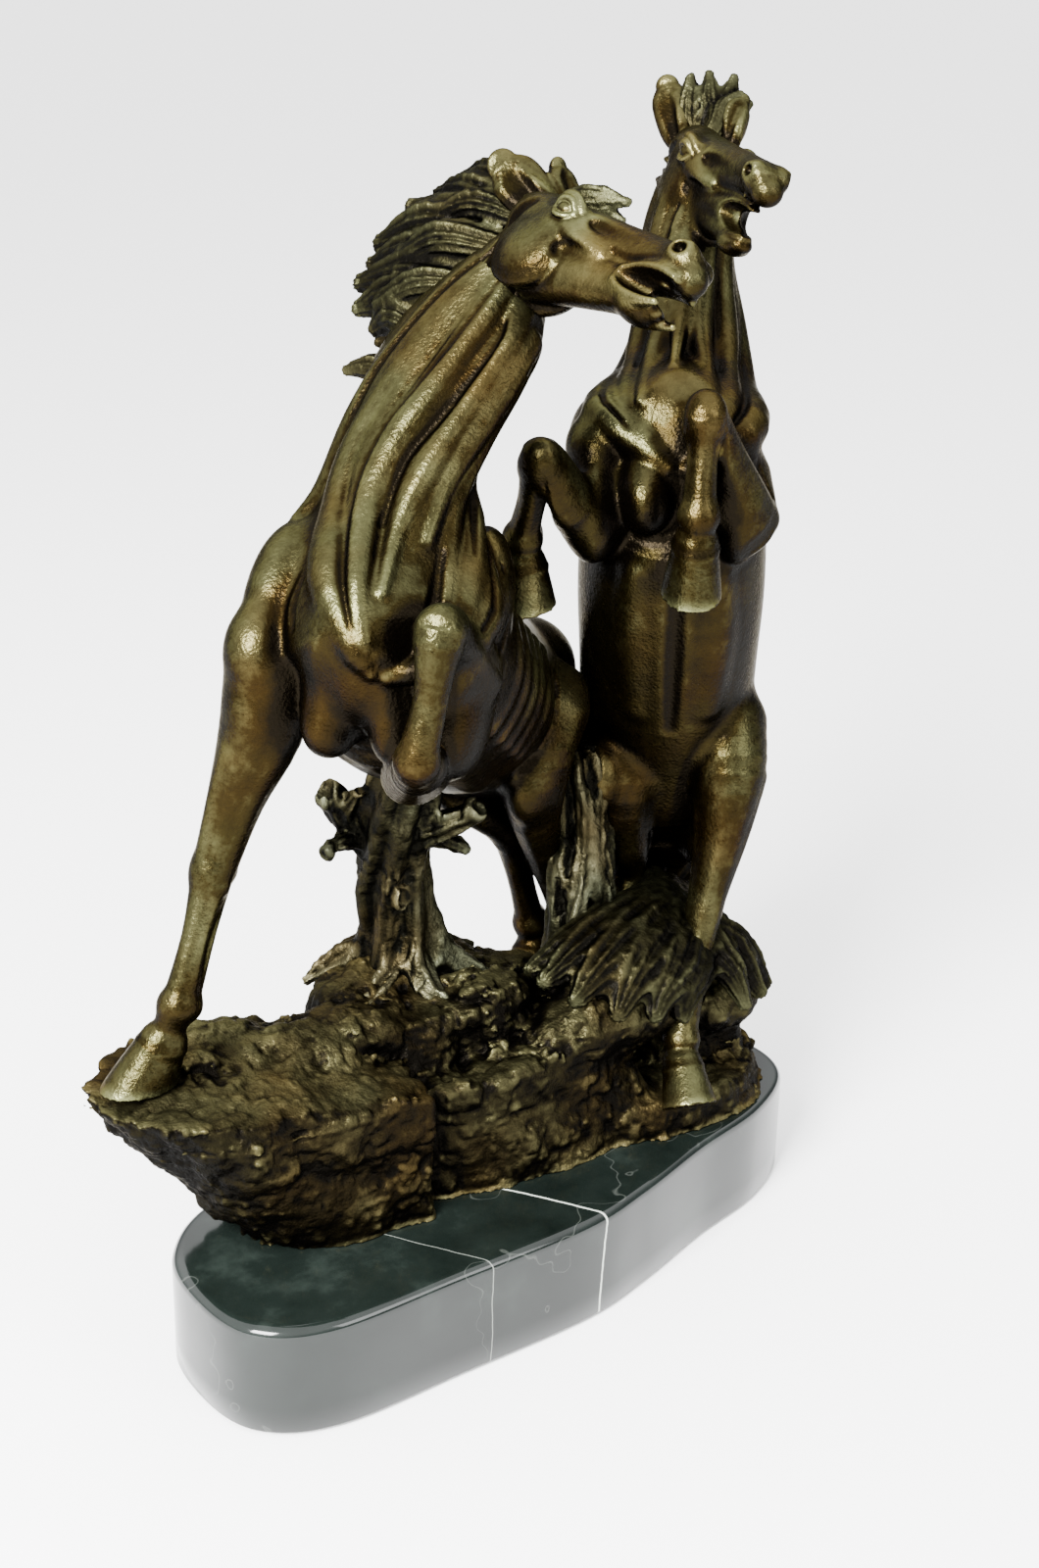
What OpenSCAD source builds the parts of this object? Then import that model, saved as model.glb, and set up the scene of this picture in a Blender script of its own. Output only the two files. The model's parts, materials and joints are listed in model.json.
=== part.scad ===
// Bronze group of two stallions on a rock, bolted to a polished marble plinth.
// One horse leaps off the left ledge over a dead stump, the other rears behind it.
// Origin: middle of the underside of the plinth. X runs along the plinth, Y to the back, Z up.

/* [Plinth] */
// Length of the marble plinth
plinth_l = 290; // [286:1:300]
// Depth of the marble plinth
plinth_d = 106; // [104:1:112]
// Height of the plinth with its felt pad
plinth_h = 45; // [44:1:46]
// Thickness of the felt pad under the marble
felt_t = 1.5; // [1:0.5:3]

/* [Horses] */
// Length of a horse's head, which sets the girth of both horses
head_l = 84; // [82:1:86]
// Wall thickness of the hollow bronze castings
wall = 4; // [3:0.5:5]

/* [Fixings] */
// Diameter of the studs that hold the rock on the plinth
stud_d = 6; // [5:0.5:8]
// Diameter of the counterbores under the plinth
counterbore_d = 20; // [18:1:24]

/* [Hidden] */

bronze_color = "#5a4a24";
mane_color = "#4c4a2c";
rock_color = "#4a4428";
stump_color = "#4e4c30";
marble_color = "#1c2420";

// Control points of the plinth's wavy oval, as shares of half its length and half its depth
plinth_shape = [
    [-0.99, -0.10], [-0.94, -0.60], [-0.76, -0.86], [-0.40, -0.87], [0.00, -0.86],
    [0.24, -0.72], [0.50, -0.50], [0.76, -0.32], [0.95, 0.00], [1.00, 0.45],
    [0.93, 0.92], [0.70, 1.10], [0.35, 1.10], [0.00, 1.02], [-0.40, 0.98],
    [-0.76, 0.92], [-0.95, 0.50],
];
marble_top = plinth_h;
edge_r = 4;          // rounded top edge of the marble
edge_steps = 4;

// Fixings: each stud screws into a boss inside the rock and carries a washer and a nut below
stud_places = [[-66, 18], [20, 18], [92, 14]];
stud_low = 6;
stud_in_rock = 26;
stud_high = marble_top + stud_in_rock;
boss_d = stud_d + 10;
boss_h = 34;
nut_af = 10;         // across the flats
nut_h = 5;
washer_d = 17;
washer_t = 1.5;
counterbore_h = 15;
clearance = 0.5;     // around a stud in the marble
fit = 0.2;           // around a stud in its boss
past = 1;            // how far a cut runs past the face it opens

// Hooves and ears
hoof_r = 11;
hoof_h = 4;
ear_radii = [5, 6, 2.5];

// Rock blocks: outline on the plinth, outline on top, height of the top
ledge_low = [[-104, 20], [-98, 5], [-77, -9], [-48, -11], [-38, 8], [-40, 46], [-96, 44]];
ledge_top = [[-164, 48], [-168, 22], [-148, 0], [-124, -8], [-90, -6], [-54, -8], [-44, 8],
             [-48, 46], [-90, 66], [-140, 62]];
ledge_h = 112;
front_low = [[-42, 2], [-13, -8], [8, -11], [46, -12], [66, -6], [66, 40], [-44, 44]];
front_top = [[-46, 6], [-22, -4], [8, 2], [30, -2], [50, 0], [58, 14], [50, 42], [-46, 42]];
front_h = 92;
hill_low = [[-90, 20], [-40, 4], [10, 4], [50, 10], [64, 46], [20, 54], [-50, 54], [-90, 48]];
hill_top = [[-62, 34], [-40, 20], [0, 22], [34, 26], [40, 48], [4, 76], [-44, 78]];
hill_h = 114;
side_low = [[44, -10], [72, -17], [95, -17], [118, -9], [134, 8], [138, 28], [122, 46], [60, 50]];
side_top = [[48, -6], [74, -15], [96, -14], [118, -4], [134, 14], [124, 40], [60, 48]];
side_h = 60;
lump_low = [[84, 6], [120, -2], [136, 16], [124, 42], [70, 50]];
lump_top = [[92, 16], [116, 8], [124, 20], [114, 36], [74, 46]];
lump_h = 84;
rock_blocks = [
    [ledge_low, ledge_top, ledge_h], [front_low, front_top, front_h], [hill_low, hill_top, hill_h],
    [side_low, side_top, side_h], [lump_low, lump_top, lump_h],
];

// Trunk of each horse: middle of the barrel, then turn, pitch and roll in degrees
leap_at = [-14, 36, 238];
leap_turn = [0, -33, 218];
leap_roll = 0;
rear_at = [94, 36, 242];
rear_turn = [0, -75, 228];
rear_roll = 5;

// Barrel stations in head lengths: forward, up, half width, half height, half length
barrel = [
    [1.00, -0.06, 0.34, 0.40, 0.20], [0.72, 0.00, 0.44, 0.52, 0.20], [0.20, 0.00, 0.46, 0.53, 0.20],
    [-0.40, 0.04, 0.43, 0.47, 0.20], [-0.85, 0.10, 0.42, 0.46, 0.22], [-1.12, 0.06, 0.32, 0.34, 0.18],
];
// Shoulder and thigh masses: forward and up from the middle, then half sizes
shoulders = [[0.88, -0.14], [0.28, 0.19, 0.42]];
thighs = [[-0.82, -0.10], [0.36, 0.20, 0.42]];
// How far the masses stand out on the right and the left side
thigh_sides = [-0.24, 0.24];
leap_shoulder_sides = [-0.38, 0.28];
rear_shoulder_sides = [-0.31, 0.22];

// Necks: points up the crest with their radii, then points up the throat with theirs
leap_crest = [[[-40, 40, 304], 24], [[-36, 38, 336], 17], [[-24, 38, 362], 13], [[-6, 26, 386], 12],
              [[8, 10, 403], 11]];
leap_throat = [[[-64, -4, 290], 26], [[-48, -4, 326], 15], [[-25, -2, 354], 13], [[-9, 2, 374], 10],
               [[2, 8, 388], 8]];
rear_crest = [[[112, 56, 312], 24], [[122, 62, 342], 16], [[126, 76, 376], 13], [[130, 76, 402], 12],
              [[130, 72, 416], 11]];
rear_throat = [[[86, 26, 318], 27], [[96, 38, 352], 18], [[108, 52, 380], 14], [[116, 58, 396], 12],
               [[120, 58, 404], 11]];

// Heads: upper row from the poll to the lip, lower row along the jaw, then the ears
leap_skull = [[[1, 5, 405], 10], [[2, -18, 402], 12.5], [[4, -44, 401], 8], [[5, -68, 399], 7]];
leap_jaw = [[[-9, -12, 392], 11], [[-8, -38, 390], 6.5], [[-6, -64, 389], 5]];
leap_ears = [[[11, 8, 405], [2, 28, 425]], [[19, 6, 402], [20, 18, 421]]];
rear_skull = [[[128, 75, 415], 10], [[120, 54, 414], 12.5], [[112, 30, 414], 8], [[103, 6, 412], 7]];
rear_jaw = [[[118, 63, 398], 10], [[109, 39, 395], 6], [[100, 16, 391], 5]];
rear_ears = [[[128, 80, 418], [132, 98, 442]], [[138, 66, 418], [147, 70, 435]]];

// Legs: points from the body to the coronet with their radii, then the middle of the sole
leap_fore_right = [[[-94, 18, 258], 17], [[-98, 21, 240], 15], [[-105, 27, 216], 10.5],
                   [[-113, 30, 190], 8.5], [[-122, 28, 168], 5.5], [[-130, 28, 143], 7.5],
                   [[-135, 31, 130], 6.5]];
leap_fore_right_sole = [-140, 33, 113];
leap_fore_left = [[[-46, -22, 264], 17], [[-60, -38, 280], 11], [[-73, -51, 292], 9], [[-76, -50, 270], 6],
                  [[-80, -48, 249], 8], [[-75, -42, 244], 7]];
leap_fore_left_sole = [-64, -28, 238];
leap_hind_right = [[[6, 72, 204], 20], [[10, 70, 186], 15], [[40, 68, 156], 9], [[48, 69, 132], 6],
                   [[54, 69, 110], 7.5], [[56, 70, 100], 6.5]];
leap_hind_right_sole = [50, 66, 84];
leap_hind_left = [[[38, 42, 204], 20], [[30, 40, 186], 15], [[52, 56, 144], 9], [[62, 60, 120], 6],
                  [[70, 62, 100], 7.5], [[68, 58, 92], 6.5]];
leap_hind_left_sole = [62, 50, 78];
rear_fore_right = [[[56, 30, 304], 17], [[44, 20, 296], 14], [[26, 13, 308], 11], [[10, 10, 324], 8.5],
                   [[12, 18, 307], 5.5], [[15, 27, 291], 7], [[16, 27, 282], 6]];
rear_fore_right_sole = [18, 26, 265];
rear_fore_left = [[[90, -2, 306], 17], [[84, -13, 298], 14], [[69, -20, 319], 11], [[54, -25, 341], 8.5],
                  [[52, -27, 327], 5.5], [[50, -29, 307], 7], [[51, -27, 298], 6]];
rear_fore_left_sole = [54, -22, 278];
rear_hind_right = [[[80, 44, 186], 20], [[80, 42, 170], 14], [[87, 46, 129], 9], [[72, 32, 116], 6],
                   [[57, 18, 103], 7.5], [[52, 14, 100], 6.5]];
rear_hind_right_sole = [40, 6, 92];
rear_hind_left = [[[108, 14, 188], 20], [[105, 12, 168], 15], [[94, 6, 130], 9], [[85, 0, 106], 6.5],
                  [[75, -6, 82], 8], [[73, -11, 74], 7]];
rear_hind_left_sole = [69, -20, 59];

// Manes and tails: locks as chains of points with radii
leap_locks = [
    [[[6, 16, 406], 7], [[6, 36, 412], 8], [[4, 54, 409], 4]],
    [[[2, 24, 400], 8], [[-2, 44, 404], 9], [[-8, 62, 402], 4]],
    [[[-4, 28, 392], 8], [[-10, 50, 396], 9], [[-16, 70, 390], 4]],
    [[[-12, 34, 382], 8], [[-17, 52, 382], 9], [[-25, 70, 377], 4]],
    [[[-20, 38, 368], 8], [[-24, 52, 370], 8], [[-28, 62, 364], 4]],
    [[[-30, 42, 342], 6], [[-36, 52, 346], 6], [[-42, 58, 338], 3]],
    [[[10, 4, 411], 5], [[15, -8, 412], 5], [[21, -18, 411], 3]],
];
rear_locks = [
    [[[132, 78, 420], 6], [[137, 81, 433], 6], [[141, 86, 442], 3]],
    [[[136, 71, 421], 6], [[143, 73, 432], 6], [[149, 76, 440], 3]],
    [[[132, 82, 414], 8], [[142, 92, 412], 8], [[150, 98, 402], 4]],
    [[[130, 84, 396], 8], [[142, 92, 388], 8], [[150, 94, 374], 4]],
    [[[130, 80, 372], 8], [[142, 84, 362], 8], [[150, 82, 346], 4]],
    [[[130, 72, 348], 8], [[140, 72, 338], 7], [[144, 64, 326], 4]],
];
leap_tail_chains = [
    [[[66, 100, 206], 8], [[78, 112, 206], 11], [[84, 120, 184], 13], [[80, 116, 150], 12],
     [[78, 104, 120], 6]],
];
rear_tail_chains = [
    [[[134, 75, 156], 8], [[145, 78, 142], 11], [[138, 66, 118], 12], [[114, 46, 114], 11],
     [[94, 34, 118], 10]],
    [[[94, 34, 118], 10], [[70, 20, 121], 8], [[46, 16, 117], 7], [[24, 14, 112], 4]],
    [[[94, 34, 118], 10], [[84, 12, 116], 8], [[72, -4, 108], 6], [[62, -9, 99], 4]],
    [[[104, 34, 118], 8], [[106, 12, 113], 7], [[118, 3, 98], 6], [[126, 1, 89], 4]],
];

// Stump under the leaping horse, and the second trunk behind it
stump_chain = [[[-12, 62, 108], 24], [[-16, 62, 132], 15], [[-20, 60, 160], 13], [[-24, 50, 190], 15],
               [[-26, 42, 204], 14]];
stump_branches = [
    [[[-20, 60, 160], 8], [[-34, 66, 178], 6], [[-44, 68, 190], 5]],
    [[[-22, 54, 172], 8], [[-12, 38, 180], 6], [[-4, 28, 188], 5]],
];
back_chain = [[[56, 36, 106], 16], [[58, 40, 130], 14], [[60, 44, 156], 13], [[58, 46, 184], 12]];

function tau_knot(a, b, c, d, t) =
    0.5 * (2 * b + (c - a) * t + (2 * a - 5 * b + 4 * c - d) * t * t
           + (3 * b - a - 3 * c + d) * t * t * t);
function smooth_loop(p, steps) = let (n = len(p)) [
    for (i = [0 : n - 1]) for (k = [0 : steps - 1])
        tau_knot(p[(i + n - 1) % n], p[i], p[(i + 1) % n], p[(i + 2) % n], k / steps)
];
function plinth_points(inset) = [
    for (p = plinth_shape) [p[0] * (plinth_l / 2 - inset), p[1] * (plinth_d / 2 - inset)]
];

module ball(point, radius, facets = 12) {
    translate(point) sphere(max(radius, 1), $fn = facets);
}

// Row of blended balls; shrink makes the hollow inside it
module chain(steps, shrink = 0) {
    for (i = [0 : len(steps) - 2])
        hull() {
            ball(steps[i][0], steps[i][1] - shrink);
            ball(steps[i + 1][0], steps[i + 1][1] - shrink);
        }
}

module egg(place, sizes, shrink = 0) {
    translate(place * head_l)
        scale([for (s = sizes) s * head_l - shrink]) sphere(1, $fn = 16);
}

// Barrel with its shoulder and thigh masses, which the hollow inside leaves solid
module trunk(at, turn, roll, sides, shrink = 0) {
    translate(at) rotate(turn) rotate([roll, 0, 0]) {
        for (i = [0 : len(barrel) - 2])
            hull() {
                barrel_egg(barrel[i], shrink);
                barrel_egg(barrel[i + 1], shrink);
            }
        if (shrink == 0)
            for (row = [[shoulders, sides], [thighs, thigh_sides]])
                for (side = row[1])
                    egg([row[0][0][0], side, row[0][0][1]], row[0][1]);
    }
}

module barrel_egg(station, shrink) {
    egg([station[0], 0, station[1]], [station[4], station[2], station[3]], shrink);
}

module neck(crest, throat, shrink = 0) {
    for (i = [0 : len(crest) - 2])
        hull()
            for (k = [i, i + 1]) {
                ball(crest[k][0], crest[k][1] - shrink);
                ball(throat[k][0], throat[k][1] - shrink);
            }
}

module leaping_form(shrink = 0) {
    trunk(leap_at, leap_turn, leap_roll, leap_shoulder_sides, shrink);
    neck(leap_crest, leap_throat, shrink);
}

module rearing_form(shrink = 0) {
    trunk(rear_at, rear_turn, rear_roll, rear_shoulder_sides, shrink);
    neck(rear_crest, rear_throat, shrink);
}

module head_form(skull, jaw, ears) {
    chain(skull);
    chain(jaw);
    hull()
        for (part = [skull[0], skull[1], jaw[0], jaw[1]]) ball(part[0], part[1]);
    for (ear = ears)
        hull() {
            ball(ear[0], ear_radii[0]);
            ball((ear[0] + ear[1]) / 2, ear_radii[1]);
            ball(ear[1], ear_radii[2]);
        }
}

// Leg down to the coronet, then a hoof that flares to its sole
module leg_form(steps, sole) {
    chain(steps);
    last = steps[len(steps) - 1];
    dir = sole - last[0];
    hull() {
        ball(last[0], last[1]);
        translate(sole) rotate([0, acos(dir[2] / norm(dir)), atan2(dir[1], dir[0])])
            translate([0, 0, -hoof_h]) cylinder(h = hoof_h, r1 = hoof_r - 1, r2 = hoof_r, $fn = 16);
    }
}

// One rock block from the marble up; inset makes the hollow inside it, open below
module block(low, top, height, inset = 0) {
    hull() {
        translate([0, 0, marble_top - (inset > 0 ? past : 0)]) slice(low, inset);
        translate([0, 0, height - 1 - inset]) slice(top, inset);
    }
}

module slice(outline, inset) {
    linear_extrude(1) offset(delta = -inset) polygon(outline);
}

module rock_form(inset = 0) {
    for (b = rock_blocks) block(b[0], b[1], b[2], inset);
}

module felt_pad() {
    color("darkgreen") linear_extrude(felt_t) polygon(smooth_loop(plinth_points(edge_r), 4));
}

module marble_plinth() {
    color(marble_color) difference() {
        union() {
            translate([0, 0, felt_t]) linear_extrude(marble_top - edge_r - felt_t)
                polygon(smooth_loop(plinth_points(0), 4));
            for (i = [1 : edge_steps])
                translate([0, 0, marble_top - edge_r + (i - 1) * edge_r / edge_steps])
                    linear_extrude(edge_r / edge_steps)
                        polygon(smooth_loop(plinth_points(edge_r * (1 - cos(90 * i / edge_steps))), 4));
        }
        for (p = stud_places) translate([p[0], p[1], 0]) {
            cylinder(h = marble_top + past, d = stud_d + clearance, $fn = 40);
            cylinder(h = counterbore_h, d = counterbore_d, $fn = 60);
        }
    }
}

module base_studs() {
    color("silver") for (p = stud_places)
        translate([p[0], p[1], stud_low]) cylinder(h = stud_high - stud_low, d = stud_d, $fn = 32);
}

module base_washers() {
    color("silver") for (p = stud_places)
        translate([p[0], p[1], counterbore_h - washer_t]) difference() {
            cylinder(h = washer_t, d = washer_d, $fn = 48);
            translate([0, 0, -past]) cylinder(h = washer_t + 2 * past, d = stud_d, $fn = 32);
        }
}

module base_nuts() {
    color("silver") for (p = stud_places)
        translate([p[0], p[1], counterbore_h - washer_t - nut_h]) difference() {
            cylinder(h = nut_h, d = nut_af / cos(30), $fn = 6);
            translate([0, 0, -past]) cylinder(h = nut_h + 2 * past, d = stud_d, $fn = 32);
        }
}

module rock_casting() {
    color(rock_color) difference() {
        union() {
            difference() {
                rock_form();
                rock_form(wall);
            }
            for (p = stud_places)
                translate([p[0], p[1], marble_top]) cylinder(h = boss_h, d = boss_d, $fn = 24);
        }
        for (p = stud_places)
            translate([p[0], p[1], marble_top - past])
                cylinder(h = stud_in_rock + 2 * past, d = stud_d + fit, $fn = 24);
    }
}

module stump_casting() {
    color(stump_color) difference() {
        union() {
            chain(stump_chain);
            for (b = stump_branches) chain(b);
        }
        rock_form();
        leaping_form();
    }
}

module back_trunk_casting() {
    color(stump_color) difference() {
        chain(back_chain);
        rock_form();
        leaping_form();
        rearing_form();
        leg_form(leap_hind_left, leap_hind_left_sole);
        leg_form(leap_hind_right, leap_hind_right_sole);
        leg_form(rear_hind_right, rear_hind_right_sole);
    }
}

// Hollow body, open at the cut faces of the head
module leaping_body() {
    color(bronze_color) difference() {
        leaping_form();
        leaping_form(wall);
        head_form(leap_skull, leap_jaw, leap_ears);
    }
}

module rearing_body() {
    color(bronze_color) difference() {
        rearing_form();
        rearing_form(wall);
        head_form(rear_skull, rear_jaw, rear_ears);
    }
}

module leaping_head() {
    color(bronze_color) head_form(leap_skull, leap_jaw, leap_ears);
}

module rearing_head() {
    color(bronze_color) head_form(rear_skull, rear_jaw, rear_ears);
}

module leaping_mane() {
    color(mane_color) difference() {
        for (lock = leap_locks) chain(lock);
        leaping_form();
        head_form(leap_skull, leap_jaw, leap_ears);
    }
}

module rearing_mane() {
    color(mane_color) difference() {
        for (lock = rear_locks) chain(lock);
        rearing_form();
        head_form(rear_skull, rear_jaw, rear_ears);
    }
}

module leaping_tail() {
    color(mane_color) difference() {
        for (c = leap_tail_chains) chain(c);
        leaping_form();
        rock_form();
    }
}

module rearing_tail() {
    color(mane_color) difference() {
        for (c = rear_tail_chains) chain(c);
        rearing_form();
        rock_form();
        leg_form(rear_hind_left, rear_hind_left_sole);
        leg_form(rear_hind_right, rear_hind_right_sole);
        leg_form(leap_hind_left, leap_hind_left_sole);
        chain(back_chain);
    }
}

module leaping_leg(steps, sole) {
    color(bronze_color) difference() {
        leg_form(steps, sole);
        leaping_form();
        rock_form();
    }
}

module rearing_leg(steps, sole) {
    color(bronze_color) difference() {
        leg_form(steps, sole);
        rearing_form();
        rock_form();
    }
}

module leaping_foreleg_right() { leaping_leg(leap_fore_right, leap_fore_right_sole); }
module leaping_foreleg_left() { leaping_leg(leap_fore_left, leap_fore_left_sole); }
module leaping_hindleg_right() { leaping_leg(leap_hind_right, leap_hind_right_sole); }
module leaping_hindleg_left() { leaping_leg(leap_hind_left, leap_hind_left_sole); }
module rearing_foreleg_right() { rearing_leg(rear_fore_right, rear_fore_right_sole); }
module rearing_foreleg_left() { rearing_leg(rear_fore_left, rear_fore_left_sole); }
module rearing_hindleg_right() { rearing_leg(rear_hind_right, rear_hind_right_sole); }
module rearing_hindleg_left() { rearing_leg(rear_hind_left, rear_hind_left_sole); }

felt_pad();
marble_plinth();
base_studs();
base_washers();
base_nuts();
rock_casting();
stump_casting();
back_trunk_casting();
leaping_body();
leaping_head();
leaping_mane();
leaping_tail();
leaping_foreleg_right();
leaping_foreleg_left();
leaping_hindleg_right();
leaping_hindleg_left();
rearing_body();
rearing_head();
rearing_mane();
rearing_tail();
rearing_foreleg_right();
rearing_foreleg_left();
rearing_hindleg_right();
rearing_hindleg_left();
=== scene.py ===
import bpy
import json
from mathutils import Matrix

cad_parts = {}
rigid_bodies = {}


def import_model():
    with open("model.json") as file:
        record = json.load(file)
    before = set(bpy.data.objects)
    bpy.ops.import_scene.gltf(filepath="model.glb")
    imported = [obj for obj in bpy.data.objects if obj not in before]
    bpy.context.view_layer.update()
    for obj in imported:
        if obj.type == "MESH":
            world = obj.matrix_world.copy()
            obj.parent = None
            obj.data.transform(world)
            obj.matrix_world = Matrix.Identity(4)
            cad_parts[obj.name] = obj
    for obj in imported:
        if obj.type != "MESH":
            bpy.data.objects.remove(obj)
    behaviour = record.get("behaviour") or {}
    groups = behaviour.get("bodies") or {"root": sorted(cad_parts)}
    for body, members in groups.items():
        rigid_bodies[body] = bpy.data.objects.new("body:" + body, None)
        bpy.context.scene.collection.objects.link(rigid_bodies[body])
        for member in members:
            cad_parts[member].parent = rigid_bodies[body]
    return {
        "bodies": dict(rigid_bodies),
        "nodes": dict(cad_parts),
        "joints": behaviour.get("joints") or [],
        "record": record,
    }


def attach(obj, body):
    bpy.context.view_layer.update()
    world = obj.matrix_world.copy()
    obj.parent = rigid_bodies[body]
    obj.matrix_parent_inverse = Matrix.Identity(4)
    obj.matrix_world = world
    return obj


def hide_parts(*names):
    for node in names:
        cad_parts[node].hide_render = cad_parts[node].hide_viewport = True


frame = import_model()

import copy
import json
import math

import bmesh
import bpy
import numpy as np
import openvdb
from mathutils import Matrix, Vector

# ---------------------------------------------------------------------------
# Sizes, in millimetres unless a name says otherwise. The poses repeat part.scad.
# ---------------------------------------------------------------------------
HEAD = 84.0          # length of a horse's head, the unit of its trunk
MM = 0.001           # metres in a millimetre
FAR = 40.0           # distance that stands for far from any clay
CELL = 0.8          # of the grids of the bodies
HEAD_CELL = 0.45    # of the finer grids of the heads

CAMERA_AT = (-0.4324, -0.5834, 0.5008)     # in metres, with its angles in degrees
CAMERA_TURN = 36.3
CAMERA_DIP = 22.0
CAMERA_ROLL = 1.2
LENS = 49.5

LEAPING = {
    "name": "leaping", "at": (-14, 36, 238), "turn": 218, "pitch": 33, "roll": 0,
    "crest": [(-40, 40, 304), (-36, 38, 336), (-24, 38, 362), (-6, 26, 386), (8, 10, 403)],
    "crest_r": [24, 17, 13, 12, 11],
    "throat": [(-64, -4, 290), (-48, -4, 326), (-25, -2, 354), (-9, 2, 374), (2, 8, 388)],
    "throat_r": [26, 15, 13, 10, 8],
    "poll": (9, 6, 412), "muzzle": (12, -76, 405), "head_roll": -46, "gape": 6,
    "ears": [
        {"points": [(12, 7, 404), (10, 13, 409), (7, 19, 415), (5, 23, 419), (3, 26, 422)],
         "face": (-0.30, -0.9, 0.15), "width": 9.2},
        {"points": [(19, 6, 402), (20, 10, 408), (20, 13, 413), (20, 16, 418), (20, 18, 421)],
         "face": (0.2, -0.9, 0.1), "width": 6.5},
    ],
    "shoulders": (0.43, 0.30), "ribs": 5,
    "legs": {
        "foreleg_right": {"joints": [(-94, 18, 264), (-98, 21, 241), (-105, 27, 216), (-113, 30, 190),
                                     (-122, 28, 168), (-130, 28, 143), (-135, 31, 129)],
                          "sole": (-140, 33, 113), "front": (-1, -0.1, 0), "ground": (0, 0, -1)},
        "foreleg_left": {"joints": [(-44, -18, 262), (-48, -26, 266), (-60, -38, 280), (-73, -51, 292),
                                    (-76, -50, 270), (-80, -48, 249), (-75, -42, 244)],
                         "sole": (-64, -28, 238), "front": (-0.6, -0.3, -0.75), "thick": 1.2},
        "hindleg_right": {"joints": [(12, 76, 214), (6, 72, 200), (16, 70, 178), (40, 68, 156),
                                     (48, 69, 132), (54, 69, 110), (55, 68, 98)],
                          "sole": (49, 65, 84), "front": (-0.8, -0.6, 0), "hind": True},
        "hindleg_left": {"joints": [(40, 46, 214), (32, 40, 198), (36, 44, 172), (52, 56, 144),
                                    (62, 60, 120), (70, 62, 100), (69, 59, 90)],
                         "sole": (62, 52, 76), "front": (-0.8, -0.6, 0), "hind": True},
    },
}
REARING = {
    "name": "rearing", "at": (94, 36, 242), "turn": 228, "pitch": 75, "roll": 5,
    "crest": [(112, 56, 312), (122, 62, 342), (126, 76, 376), (130, 76, 400), (128, 70, 409)],
    "crest_r": [24, 16, 13, 12, 8],
    "throat": [(86, 26, 318), (96, 38, 352), (108, 52, 380), (116, 58, 396), (120, 58, 404)],
    "throat_r": [27, 18, 14, 12, 11],
    "poll": (131, 75, 425), "muzzle": (104, -1, 421), "head_roll": -16, "gape": 13,
    "ears": [
        {"points": [(128, 80, 416), (129, 85, 422), (130, 90, 429), (131, 94, 435), (132, 97, 439)],
         "face": (-0.7, -0.7, 0.1), "width": 7.6},
        {"points": [(138, 66, 418), (140, 67, 423), (142, 68, 428), (144, 69, 432), (147, 70, 435)],
         "face": (-0.6, -0.8, 0.1), "width": 5.5},
    ],
    "shoulders": (0.33, 0.20), "ribs": 0,
    "legs": {
        "foreleg_right": {"joints": [(58, 32, 306), (46, 22, 296), (26, 13, 306), (10, 10, 324),
                                     (12, 18, 307), (15, 27, 291), (16, 27, 281)],
                          "sole": (18, 26, 265), "front": (-0.8, -0.6, 0)},
        "foreleg_left": {"joints": [(90, 0, 308), (84, -13, 298), (69, -20, 319), (54, -25, 341),
                                    (52, -27, 327), (50, -29, 307), (51, -27, 297)],
                         "sole": (54, -22, 278), "front": (-0.6, -0.8, 0)},
        "hindleg_right": {"joints": [(92, 50, 196), (80, 42, 180), (82, 44, 154), (87, 46, 129),
                                     (72, 32, 116), (57, 18, 103), (50, 12, 99)],
                          "sole": (40, 6, 90), "front": (-0.8, -0.6, -0.2), "hind": True},
        "hindleg_left": {"joints": [(112, 22, 200), (108, 12, 184), (102, 8, 158), (94, 6, 130),
                                    (85, 0, 106), (75, -6, 82), (72, -11, 74)],
                         "sole": (69, -20, 60), "front": (-0.65, -0.75, 0), "hind": True},
    },
}


# ---------------------------------------------------------------------------
# Clay: signed distances on a grid, blended into one soft form
# ---------------------------------------------------------------------------
def unit(v):
    v = np.asarray(v, float)
    return v / np.linalg.norm(v)


def flow(values, steps=4):
    """A smooth run of values through given ones."""
    v = np.asarray(values, float)
    if v.ndim == 1:
        v = v[:, None]
    ends = np.vstack([2 * v[0] - v[1], v, 2 * v[-1] - v[-2]])
    out = []
    for i in range(len(v) - 1):
        a, b, c, d = ends[i:i + 4]
        for k in range(steps):
            t = k / steps
            out.append(0.5 * (2 * b + (c - a) * t + (2 * a - 5 * b + 4 * c - d) * t * t
                              + (3 * b - a - 3 * c + d) * t ** 3))
    out.append(v[-1])
    return np.array(out)


def lattice_noise(places, seed):
    """Smooth random values from 0 to 1, one unit apart."""
    table = np.random.default_rng(seed).random((32, 32, 32)).astype(np.float32)
    first = np.floor(places).astype(int)
    part = (places - first).astype(np.float32)
    part = part * part * (3 - 2 * part)
    value = 0
    for corner in np.ndindex(2, 2, 2):
        i, j, k = ((first + corner) % 32).T
        value = value + np.prod(np.where(corner, part, 1 - part), axis=1) * table[i, j, k]
    return value


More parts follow.
